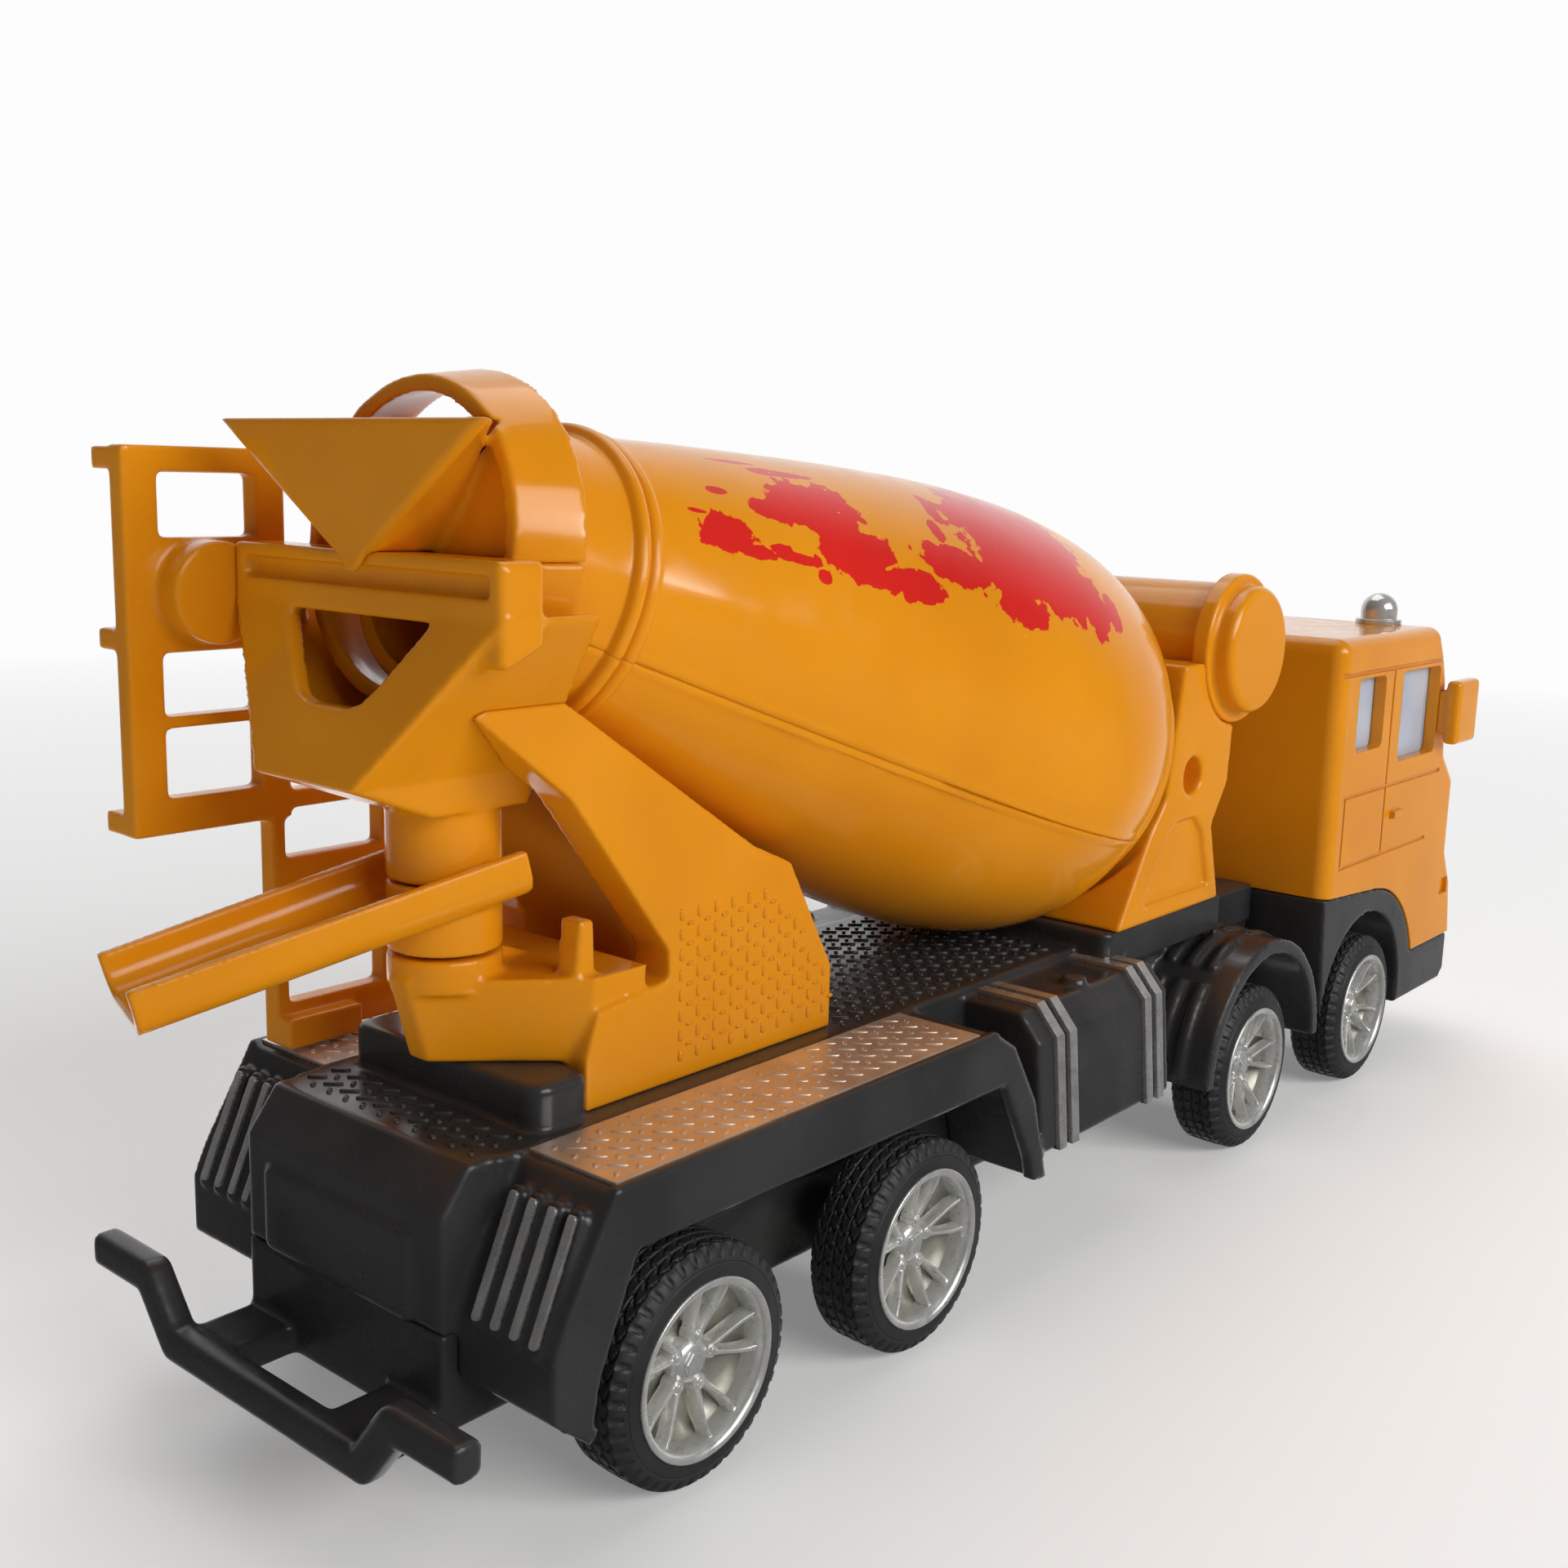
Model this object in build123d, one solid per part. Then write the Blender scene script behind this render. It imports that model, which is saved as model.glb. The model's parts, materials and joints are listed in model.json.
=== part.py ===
from build123d import *
import math
import os

# Toy cement mixer truck, millimetres.
# +X runs forward to the cab, +Y to the truck's left, +Z up; the tyres stand on Z = 0.
# Lengths along the truck are "stations": millimetres ahead of the rearmost axle.

# ---------------------------------------------------------------- driving dimensions
REAR_AXLE_X = -81.91
AXLE_STATIONS = (0.0, 36.7, 121.1, 162.7)

TYRE_RADIUS = 12.5
TYRE_WIDTH = 8.0
TYRE_OUTER_Y = 29.3
TYRE_SHOULDER = 1.8
RIM_RADIUS = 8.8
RIM_LIP_RADIUS = 9.3
RIM_LIP = 0.7
RIM_BARREL = 0.9
RIM_DISC = 1.2
RIM_HUB_RADIUS = 2.3
SPOKE_PAIRS = 5
SPOKE_WIDTH = 0.9
SPOKE_SPREAD = 10.0
ROD_RADIUS = 1.0
ROD_HALF_LENGTH = 27.0
ROD_CLEARANCE = 0.06

WALL = 1.8
DECK_TOP = 35.3
DECK_HALF_WIDTH = 16.5
DECK_REAR = -18.5
DECK_FRONT = 143.8
SPLIT_Z = 19.4
BASE_FLOOR_Z = 9.0
BASE_HALF_WIDTH = 15.9
BLOCK_REAR = -21.9
BLOCK_BEVEL_Z = 30.8
SIDE_Y = 29.4
SCREW_PLACES = ((-8.5, 0.0), (18.0, 0.0), (78.0, 0.0), (136.0, 0.0))
SCREW_RADIUS = 1.1
BAR_DEPTH = 3.2
BAR_HEIGHT = 3.6
LOUVRE_COUNT = 4
LOUVRE_PITCH = 2.65
LOUVRE_FIRST_Y = 18.9

TREAD_REAR = -11.8
TREAD_FRONT = 46.9
TREAD_THICKNESS = 0.4

TANK_BOX_REAR = 60.6
TANK_BOX_FRONT = 93.4
TANK_BOX_BOTTOM = 16.5
TANK_BOX_TOP = 34.1
TANK_BOX_SHOULDER_Z = 30.7
TANK_BOX_SHOULDER_Y = 28.1
TANK_BOX_CHAMFER_Y = 2.9
BAND_STATIONS = (63.9, 66.9, 86.2, 89.2)
BAND_WIDTH = 1.7
BAND_PROUD = 0.6

ARCH_STATION = 124.5
ARCH_RADIUS = 19.2
ARCH_WALL = 2.2
ARCH_RIB_YS = (17.9, 21.2, 24.6)
ARCH_RIB_WIDTH = 1.4

DRUM_TILT = 15.6
DRUM_STATION = 3.64
DRUM_Z = 87.42
DRUM_WALL = 1.6
DRUM_BELLY = ((2.0, 16.2), (20.0, 20.3), (42.0, 24.9), (60.0, 27.9), (76.0, 29.1), (89.0, 27.8), (97.5, 23.2))
DRUM_NECK = ((-12.0, 13.6), (-2.0, 15.3))
DRUM_BEAD_RADIUS = 0.8
DRUM_SEAM_ANGLE = 25.0
DRUM_FLANGE_RADIUS = 23.6
DRUM_FLANGE = 1.6
SPINDLE_RADIUS = 3.0
SPINDLE_END = 108.0
SPINDLE_CLEARANCE = 0.08
DRUM_GAP = 0.9

COLLAR_TILT = 7.4
COLLAR_STATION = -12.8
COLLAR_Z = 91.8
COLLAR_LENGTH = 7.3
COLLAR_REAR_RADIUS = 15.75
COLLAR_FRONT_RADIUS = 17.65
COLLAR_WALL = 1.7
COLLAR_SPLIT_Z = 90.5

POST_STATION = -8.5
POST_RADIUS = 5.8
POST_BOTTOM = 51.0
POST_SHOULDER_Z = 58.7
SPIGOT_RADIUS = 4.4
CHUTE_YAW = 18.0
CHUTE_SLOPE = 14.45
CHUTE_PIVOT_RIM_Z = 60.85
CHUTE_REACH = 33.0
CHUTE_HEAD = 5.5
CHUTE_HEAD_HALF_WIDTH = 8.6
CHUTE_TIP_HALF_WIDTH = 7.4
CHUTE_DEPTH = 5.0
CHUTE_WALL = 1.3
CHUTE_CLEARANCE = 0.08

LADDER_Y = 24.3
LADDER_THICKNESS = 2.5

STAND_HALF_WIDTH = 22.0
STAND_BOTTOM = 38.0
WATER_STATION = 122.0
WATER_Z = 75.5
WATER_RADIUS = 9.5
WATER_FLANGE_RADIUS = 11.0

CAB_REAR = 144.0
CAB_BOTTOM = 34.5
CAB_HALF_WIDTH = 28.8
CAB_WALL = 2.0
CAB_ROOF = 76.0
CAB_ARCH_STATION = 164.5
CAB_ARCH_Z = 11.5
CAB_ARCH_RADIUS = 21.3
WHEEL_WELL_RADIUS = 16.6
BEACON_STATION = 184.0
BEACON_Y = 18.0
FIT_GAP = 0.15

CAB_OUTLINE = (
    (CAB_REAR, CAB_BOTTOM),
    (CAB_REAR, CAB_ROOF),
    (186.2, CAB_ROOF),
    (189.3, 71.3),
    (191.1, 66.9),
    (193.8, 53.4),
    (199.2, 48.3),
    (199.2, 34.7),
    (202.9, 28.6),
    (205.0, 18.5),
    (166.0, 18.5),
    (166.0, 32.9),
)


# ---------------------------------------------------------------- helpers
def at(station):
    """X of a station measured ahead of the rearmost axle."""
    return REAR_AXLE_X + station


def prism(corners, direction, length):
    """Straight solid grown from a flat closed outline."""
    return extrude(make_face(Polyline(*corners, close=True)), amount=length, dir=direction)


def side_solid(outline, y_low, y_high):
    """Outline drawn from the side as (station, height), between two widths."""
    return prism([(at(s), y_low, z) for s, z in outline], (0, 1, 0), y_high - y_low)


def cross_solid(outline, s_low, s_high):
    """Outline drawn from the rear as (width, height), between two stations."""
    return prism([(at(s_low), y, z) for y, z in outline], (1, 0, 0), s_high - s_low)


def block(s_low, s_high, y_low, y_high, z_low, z_high):
    """Rectangular block between stations, widths and heights."""
    middle = Pos((at(s_low) + at(s_high)) / 2, (y_low + y_high) / 2, (z_low + z_high) / 2)
    return middle * Box(s_high - s_low, y_high - y_low, z_high - z_low)


def rod_y(radius, y_low, y_high, station, z):
    """Round bar lying across the truck."""
    return Pos(at(station), (y_low + y_high) / 2, z) * Rot(90, 0, 0) * Cylinder(radius, y_high - y_low)


def post_z(radius, z_low, z_high, station, y=0.0):
    """Round bar standing upright."""
    return Pos(at(station), y, (z_low + z_high) / 2) * Cylinder(radius, z_high - z_low)


def other_side(part):
    """The same piece on the truck's other side."""
    return mirror(part, about=Plane.XZ)


def both_sides(part):
    """A piece together with its mirror twin."""
    return part + other_side(part)


def soften(part, edges, radius):
    """Round the edges, with a smaller radius where the full one doesn't fit."""
    for size in (radius, radius * 0.6, radius * 0.3):
        try:
            rounded = fillet(edges, size)
        except Exception:
            continue
        if rounded.is_valid:
            return rounded
    return part


def long_edges(part, axis, shortest):
    """Edges parallel to an axis and at least so long."""
    return part.edges().filter_by(axis).filter_by(lambda edge: edge.length >= shortest)


def section_loft(sections):
    """Straight-sided solid through flat rectangles (station low, high, half width, height)."""
    faces = []
    for s_low, s_high, half_width, z in sections:
        corners = [
            (at(s_low), -half_width, z),
            (at(s_high), -half_width, z),
            (at(s_high), half_width, z),
            (at(s_low), half_width, z),
        ]
        faces.append(make_face(Polyline(*corners, close=True)))
    return loft(faces, ruled=True)


def spun(outline, seat):
    """Solid of revolution: (distance along the axis, radius), placed on a seat plane."""
    profile = make_face(Polyline(*[(radius, 0, s) for s, radius in outline], close=True))
    return seat.location * revolve(profile, Axis.Z)


# ---------------------------------------------------------------- seats of the tilted pieces
tilt = math.radians(DRUM_TILT)
drum_seat = Plane(
    origin=(at(DRUM_STATION), 0, DRUM_Z),
    x_dir=(0, -1, 0),
    z_dir=(math.cos(tilt), 0, -math.sin(tilt)),
)
collar_tilt = math.radians(COLLAR_TILT)
collar_seat = Plane(
    origin=(at(COLLAR_STATION), 0, COLLAR_Z),
    x_dir=(0, -1, 0),
    z_dir=(math.cos(collar_tilt), 0, -math.sin(collar_tilt)),
)


# ---------------------------------------------------------------- mixing drum
def drum_body(grow):
    """Closed drum form, its skin moved outward by grow."""
    belly = [(radius + grow, 0, s) for s, radius in DRUM_BELLY]
    neck_end, neck_root = DRUM_NECK
    end_s = neck_end[0] - max(grow, 0)
    front_s = DRUM_BELLY[-1][0] + max(grow, 0)
    outline = [
        Polyline(
            (0, 0, front_s),
            (0, 0, end_s),
            (neck_end[1] + grow, 0, end_s),
            (neck_root[1] + grow, 0, neck_root[0]),
            belly[0],
        ),
        Spline(*belly),
    ]
    if grow > 0:
        outline.append(Polyline(belly[-1], (belly[-1][0], 0, front_s), (0, 0, front_s)))
    else:
        outline.append(Line(belly[-1], (0, 0, front_s)))
    return revolve(make_face(outline), Axis.Z)


def drum_shell():
    shell = drum_body(0.0)
    for s in (-0.9, 0.9):
        shell += Pos(0, 0, s) * Torus(15.75, DRUM_BEAD_RADIUS)
    shell -= drum_body(-DRUM_WALL)
    mouth_radius = DRUM_NECK[0][1] - DRUM_WALL
    shell -= Pos(0, 0, DRUM_NECK[0][0]) * Cylinder(mouth_radius, 4.0)
    front = DRUM_BELLY[-1]
    shell -= Pos(0, 0, front[0]) * Cylinder(front[1] - DRUM_WALL, 6.0)
    return shell


def drum_half(side):
    """One moulded half; the seam plane holds the drum's axis."""
    cutter = Rot(0, 0, DRUM_SEAM_ANGLE) * Pos(0, side * 50, 45) * Box(200, 100, 300)
    return drum_seat.location * (drum_shell() & cutter)


def drum_front_cap():
    front_s, front_radius = DRUM_BELLY[-1]
    plug_radius = front_radius - DRUM_WALL - 0.1
    cap = Pos(0, 0, front_s + DRUM_FLANGE / 2) * Cylinder(DRUM_FLANGE_RADIUS, DRUM_FLANGE)
    cap += Pos(0, 0, front_s - 1.2) * (Cylinder(plug_radius, 2.4) - Cylinder(plug_radius - 1.5, 2.4))
    spindle_root = front_s - 2.4
    spindle_length = SPINDLE_END - spindle_root
    cap += Pos(0, 0, spindle_root + spindle_length / 2) * Cylinder(SPINDLE_RADIUS, spindle_length)
    return drum_seat.location * cap


def drum_room():
    """The space the turning drum sweeps, with its gap all round."""
    room = drum_body(DRUM_GAP)
    room += Cylinder(15.75 + DRUM_BEAD_RADIUS + DRUM_GAP, 5.2)
    front_s = DRUM_BELLY[-1][0]
    room += Pos(0, 0, front_s + 1.0) * Cylinder(DRUM_FLANGE_RADIUS + DRUM_GAP, 3.2)
    return drum_seat.location * room


# ---------------------------------------------------------------- collar halves, yoke and hopper
def collar_ring():
    inner_rear = COLLAR_REAR_RADIUS - COLLAR_WALL
    inner_front = COLLAR_FRONT_RADIUS - COLLAR_WALL
    return spun(
        [
            (0, inner_rear),
            (COLLAR_LENGTH, inner_front),
            (COLLAR_LENGTH, COLLAR_FRONT_RADIUS),
            (0, COLLAR_REAR_RADIUS),
        ],
        collar_seat,
    )


def collar_bore():
    """The open cone inside the collar, run past both its faces."""
    inner_rear = COLLAR_REAR_RADIUS - COLLAR_WALL
    inner_front = COLLAR_FRONT_RADIUS - COLLAR_WALL
    slope = (inner_front - inner_rear) / COLLAR_LENGTH
    reach = 9.0
    return spun(
        [
            (-0.4, 0),
            (COLLAR_LENGTH + reach, 0),
            (COLLAR_LENGTH + reach, inner_front + slope * reach),
            (-0.4, inner_rear - slope * 0.4),
        ],
        collar_seat,
    )


def collector_form():
    """Outer form of the collector under the drum's mouth, narrowing to the post."""
    form = section_loft([(-18.2, -6.5, 20.8, 86.0), (-25.0, -2.5, 7.8, 70.0)])
    form += section_loft([(-25.0, -2.5, 7.8, 70.0), (-14.5, -2.5, 6.0, 66.0)])
    return form


def yoke_beam():
    beam = block(-18.4, -13.6, -20.6, 20.6, 85.0, 91.0)
    cheek = side_solid(((-18.4, 82.2), (-17.6, 81.4), (-13.2, 83.4), (-13.2, 91.0), (-18.4, 91.0)), 15.4, 20.6)
    beam += both_sides(cheek)
    for y in (-20.6, 20.6):
        beam = soften(beam, beam.edges().filter_by_position(Axis.Y, y - 0.1, y + 0.1), 0.8)
    return beam


def drum_yoke():
    lower_ring = collar_ring() & block(-40, 20, -30, 30, 60, COLLAR_SPLIT_Z)
    hollow = section_loft([(-16.4, -4.0, 18.4, 86.1), (-22.6, -4.0, 6.4, 71.4)])
    half_cut = ((12.0, 90.0), (11.2, 85.1), (6.4, 79.0), (4.9, 77.5), (2.8, 76.8))
    cut_out = cross_solid(half_cut + tuple((-y, z) for y, z in reversed(half_cut)), -32, -12)
    body = collector_form() - hollow - cut_out
    body += yoke_beam()
    body += lower_ring
    body -= collar_bore()
    body -= block(-19.0, -17.2, -18.8, 18.8, 87.6, 89.7)
    body -= drum_room()
    body += post_z(POST_RADIUS, POST_SHOULDER_Z, 68.0, POST_STATION)
    body += post_z(SPIGOT_RADIUS, POST_BOTTOM, POST_SHOULDER_Z + 0.1, POST_STATION)
    return body


def hopper():
    upper_ring = collar_ring() & block(-40, 20, -30, 30, COLLAR_SPLIT_Z, 120)
    rim_z = 103.0
    foot_z = 91.0
    rim = ((-20.0, -19.6), (-19.2, -20.5), (-14.6, -15.2), (-9.2, -8.4))
    foot = ((-19.2, -2.5), (-18.8, -2.9), (-14.0, -3.6), (-9.2, -4.2))
    inner_rim = ((-18.6, -18.2), (-18.2, -18.4), (-13.6, -13.6), (-5.0, -7.0))
    inner_foot = ((-17.6, -1.3), (-17.4, -1.6), (-13.4, -2.3), (-5.0, -3.0))

    def funnel(top, bottom, z_top, z_bottom):
        faces = []
        for outline, z in ((top, z_top), (bottom, z_bottom)):
            right = [(at(s), y, z) for s, y in outline]
            left = [(x, -y, z) for x, y, z in reversed(right)]
            faces.append(make_face(Polyline(*(right + left), close=True)))
        return loft(faces, ruled=True)

    shell = funnel(rim, foot, rim_z, foot_z)
    tip_outline = ((2.6, 91.2), (0.7, 89.1), (-0.7, 89.1), (-2.6, 91.2))
    shell += cross_solid(tip_outline, -19.2, -18.45)
    web_radius = COLLAR_REAR_RADIUS - COLLAR_WALL + 0.5
    web = spun([(1.0, 0), (2.4, 0), (2.4, web_radius), (1.0, web_radius)], collar_seat)
    shell += web & block(-40, 20, -30, 30, COLLAR_SPLIT_Z, 101.8)
    shell += upper_ring
    shell -= funnel(inner_rim, inner_foot, rim_z + 0.2, foot_z + 1.4)
    shell -= drum_room()
    return shell


# ---------------------------------------------------------------- discharge chute
def chute_section(distance, half_width, depth, top_lift):
    """Trough section across the chute, at a distance from the pivot toward the tip."""
    corner = min(depth, half_width) * 0.62
    seat = chute_seat.offset(distance)
    outline = (
        Line((-half_width, top_lift), (-half_width, corner - depth)),
        CenterArc((corner - half_width, corner - depth), corner, 180, 90),
        Line((corner - half_width, -depth), (half_width - corner, -depth)),
        CenterArc((half_width - corner, corner - depth), corner, 270, 90),
        Line((half_width, corner - depth), (half_width, top_lift)),
        Line((half_width, top_lift), (-half_width, top_lift)),
    )
    return seat * make_face(outline)


yaw = math.radians(CHUTE_YAW)
slope = math.radians(CHUTE_SLOPE)
chute_direction = Vector(
    -math.cos(yaw) * math.cos(slope),
    math.sin(yaw) * math.cos(slope),
    -math.sin(slope),
)
chute_seat = Plane(
    origin=(at(POST_STATION), 0, CHUTE_PIVOT_RIM_Z),
    x_dir=(-math.sin(yaw), -math.cos(yaw), 0),
    z_dir=chute_direction,
)


def discharge_chute():
    outer = loft(
        [
            chute_section(-CHUTE_HEAD, CHUTE_HEAD_HALF_WIDTH, CHUTE_DEPTH, 0.0),
            chute_section(CHUTE_REACH, CHUTE_TIP_HALF_WIDTH, CHUTE_DEPTH, 0.0),
        ],
        ruled=True,
    )
    inner = loft(
        [
            chute_section(-CHUTE_HEAD - 1, CHUTE_HEAD_HALF_WIDTH - CHUTE_WALL, CHUTE_DEPTH - CHUTE_WALL, 1.0),
            chute_section(CHUTE_REACH + 1, CHUTE_TIP_HALF_WIDTH - CHUTE_WALL, CHUTE_DEPTH - CHUTE_WALL, 1.0),
        ],
        ruled=True,
    )
    trough = outer - inner
    hub_bottom = POST_BOTTOM + 0.5
    hub_top = POST_SHOULDER_Z - 0.3
    trough += post_z(POST_RADIUS, hub_bottom, hub_top, POST_STATION)
    trough -= post_z(SPIGOT_RADIUS + CHUTE_CLEARANCE, 40, 75, POST_STATION)
    trough -= post_z(POST_RADIUS + 2 * CHUTE_CLEARANCE, hub_top, 75, POST_STATION)
    return trough


# ---------------------------------------------------------------- rear pedestal
def rear_pedestal():
    leg_outline = (
        (-1.9, DECK_TOP),
        (37.0, DECK_TOP),
        (37.0, 42.9),
        (29.3, 56.3),
        (23.0, 59.1),
        (-3.0, 76.0),
        (-9.0, 79.9),
        (-15.9, 76.6),
        (-4.0, 67.6),
        (9.8, 49.8),
        (9.9, 46.7),
        (-0.3, 45.3),
        (-1.9, 40.7),
    )
    leg = side_solid(leg_outline, 8.4, 13.8)
    pocket = side_solid(((0.9, 45.9), (9.2, 47.2), (9.2, 48.9), (0.9, 48.5)), 12.4, 14.0)
    leg -= pocket
    body = both_sides(leg)
    floor_plate = block(-1.9, 37.0, -8.6, 8.6, DECK_TOP, DECK_TOP + 2.0)
    front_wall = block(34.8, 37.0, -8.6, 8.6, DECK_TOP, 42.9)
    body += floor_plate
    body += front_wall
    tray_faces = []
    for apex, side_s, half_width, z in ((-12.0, -0.9, 12.4, 40.0), (-14.6, -0.3, 13.5, 48.9)):
        corners = [(apex, -1.4), (side_s, -half_width), (7.0, -half_width), (7.0, half_width)]
        corners += [(side_s, half_width), (apex, 1.4)]
        tray_faces.append(make_face(Polyline(*[(at(s), y, z) for s, y in corners], close=True)))
    wedge = loft(tray_faces, ruled=True)
    body += wedge
    body += post_z(POST_RADIUS, 47.5, POST_BOTTOM, POST_STATION)
    gusset = side_solid(((-3.0, 48.0), (4.0, 48.0), (-3.0, 50.6)), -1.0, 1.0)
    body += gusset
    tab = side_solid(((-2.0, 48.0), (1.0, 48.0), (0.6, 54.6), (-1.2, 54.6)), 9.2, 12.2)
    body += other_side(tab)
    body -= drum_room()
    body -= collector_form()
    body -= yoke_beam()
    body -= collar_ring() + collar_bore()
    return body


# ---------------------------------------------------------------- ladder
def ladder():
    back = LADDER_Y
    front = LADDER_Y + LADDER_THICKNESS
    frame = block(-28.0, -9.8, back, front, 61.0, 100.2)
    for z_low, z_high in ((91.2, 97.6), (73.2, 79.6), (64.8, 72.0)):
        frame -= block(-24.1, -13.4, back - 1, front + 1, z_low, z_high)
    lower = block(-12.4, 4.4, back, front, 36.0, 64.0)
    for z_low, z_high in ((56.6, 61.9), (40.2, 51.6)):
        lower -= block(-10.6, 1.8, back - 1, front + 1, z_low, z_high)
    frame += lower
    holes = long_edges(frame, Axis.Y, 2.0)
    frame = soften(frame, holes, 0.7)
    for z in (98.9, 81.0, 62.2):
        frame += block(-28.0, -25.6, front - 0.5, front + 3.4, z - 1.1, z + 1.1)
    frame += block(-12.4, -2.8, back - 2.4, front, DECK_TOP + TREAD_THICKNESS, 39.0)
    frame += rod_y(5.2, 20.6, back + 0.5, -19.6, 85.8)
    frame += rod_y(4.0, 20.6, back + 0.5, -19.6, 85.8)
    return frame


# ---------------------------------------------------------------- front stand and water tank
def front_stand():
    outline = (
        (90.0, STAND_BOTTOM),
        (120.0, STAND_BOTTOM),
        (116.4, 49.7),
        (120.5, 55.5),
        (122.0, 74.0),
        (105.0, 74.0),
        (101.6, 55.0),
        (98.0, 51.0),
    )
    body = side_solid(outline, -STAND_HALF_WIDTH, STAND_HALF_WIDTH)
    body = soften(body, long_edges(body, Axis.Y, 10).filter_by_position(Axis.Z, 45.0, 60.0), 1.5)
    inset = side_solid(
        ((97.0, 40.5), (116.5, 40.5), (113.6, 49.0), (111.0, 51.5), (105.5, 51.5), (103.0, 49.5)),
        STAND_HALF_WIDTH - 1.0,
        STAND_HALF_WIDTH + 1,
    )
    body -= both_sides(inset)
    body -= rod_y(2.7, -STAND_HALF_WIDTH - 1, -STAND_HALF_WIDTH + 4, 109.3, 57.9)
    body -= rod_y(2.7, STAND_HALF_WIDTH - 4, STAND_HALF_WIDTH + 1, 109.3, 57.9)
    body -= rod_y(WATER_RADIUS, -30, 30, WATER_STATION, WATER_Z)
    body -= both_sides(rod_y(WATER_FLANGE_RADIUS + 0.2, 19.5, 30, WATER_STATION, WATER_Z))
    body -= block(97, 118, -STAND_HALF_WIDTH + 2, STAND_HALF_WIDTH - 2, STAND_BOTTOM - 1, 43.0)
    body -= drum_room()
    bore_length = SPINDLE_END - DRUM_BELLY[-1][0] + 0.5
    bore = Pos(0, 0, DRUM_BELLY[-1][0] + bore_length / 2) * Cylinder(SPINDLE_RADIUS + SPINDLE_CLEARANCE, bore_length)
    body -= drum_seat.location * bore
    return body


def water_tank():
    tank = rod_y(WATER_RADIUS, -19.6, 19.6, WATER_STATION, WATER_Z)
    tank -= rod_y(WATER_RADIUS - 1.6, -19.6, 19.6, WATER_STATION, WATER_Z)
    return tank


def tank_cap():
    """End cap on the truck's left: a flange, a groove and a domed end disc."""
    cap = rod_y(WATER_RADIUS - 1.7, 17.0, 19.7, WATER_STATION, WATER_Z)
    cap += rod_y(WATER_FLANGE_RADIUS, 19.6, 22.0, WATER_STATION, WATER_Z)
    cap += rod_y(9.3, 21.9, 24.9, WATER_STATION, WATER_Z)
    cap = soften(cap, cap.edges().filter_by(GeomType.CIRCLE).filter_by_position(Axis.Y, 24.8, 25.0), 1.2)
    cap = soften(cap, cap.edges().filter_by(GeomType.CIRCLE).filter_by_position(Axis.Y, 21.9, 22.1), 0.5)
    return cap


# ---------------------------------------------------------------- chassis deck
def fender():
    """Left rear mudguard: top plate, side frame, louvre panel and front flap."""
    outer = SIDE_Y + 0.2
    top = block(-12.8, 49.5, DECK_HALF_WIDTH - 0.5, outer, DECK_TOP - 2.6, DECK_TOP - 0.4)
    rim = block(-12.8, 49.5, outer - 1.1, outer, DECK_TOP - 2.6, DECK_TOP)
    frame_outline = (
        (-12.8, DECK_TOP - 0.4),
        (49.5, DECK_TOP - 0.4),
        (53.2, 32.6),
        (58.4, 24.4),
        (61.7, 13.6),
        (58.9, 13.7),
        (57.9, 16.9),
        (51.4, 28.1),
        (-9.8, 28.5),
        (-14.5, 17.5),
        (-15.3, 13.3),
        (-19.0, 14.0),
        (-20.2, 21.4),
        (-18.7, 24.8),
    )
    frame = side_solid(frame_outline, outer - 1.8, outer)
    panel_outline = (
        (-12.8, DECK_TOP - 0.4),
        (-18.7, 24.8),
        (-20.2, 21.4),
        (-20.2, 15.2),
        (-15.6, 11.4),
        (-14.6, 12.6),
        (-18.2, 16.0),
        (-18.2, 21.0),
        (-16.9, 24.0),
        (-11.0, 33.0),
    )
    panel = side_solid(panel_outline, BASE_HALF_WIDTH - 0.4, outer)
    flap_outline = (
        (49.5, DECK_TOP - 0.4),
        (53.2, 32.6),
        (58.4, 24.4),
        (61.7, 13.6),
        (60.2, 13.6),
        (57.0, 23.8),
        (52.2, 31.4),
        (48.0, 33.2),
    )
    flap = side_solid(flap_outline, DECK_HALF_WIDTH - 0.5, outer)
    return top + rim + frame + panel + flap


def tank_outline(grow):
    """Tank box seen from the rear: a drafted side, a chamfer and a flat top."""
    return (
        (DECK_HALF_WIDTH - 1.0, TANK_BOX_BOTTOM - min(grow, 0.01)),
        (SIDE_Y + grow, TANK_BOX_BOTTOM - min(grow, 0.01)),
        (TANK_BOX_SHOULDER_Y + grow, TANK_BOX_SHOULDER_Z + grow / 2),
        (TANK_BOX_SHOULDER_Y - TANK_BOX_CHAMFER_Y + grow / 2, TANK_BOX_TOP + grow),
        (DECK_HALF_WIDTH - 1.0, TANK_BOX_TOP + grow),
    )


def tank_box():
    box = cross_solid(tank_outline(0.0), TANK_BOX_REAR, TANK_BOX_FRONT)
    hollow = block(
        TANK_BOX_REAR + WALL,
        TANK_BOX_FRONT - WALL,
        DECK_HALF_WIDTH + 1.0,
        TANK_BOX_SHOULDER_Y - WALL,
        TANK_BOX_BOTTOM - 1,
        TANK_BOX_SHOULDER_Z - 1,
    )
    box -= hollow
    filler = post_z(1.7, TANK_BOX_TOP - 0.4, TANK_BOX_TOP + 1.1, 76.4, 23.3)
    return box + soften(filler, filler.edges().filter_by_position(Axis.Z, 35.1, 35.3), 0.4)


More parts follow.
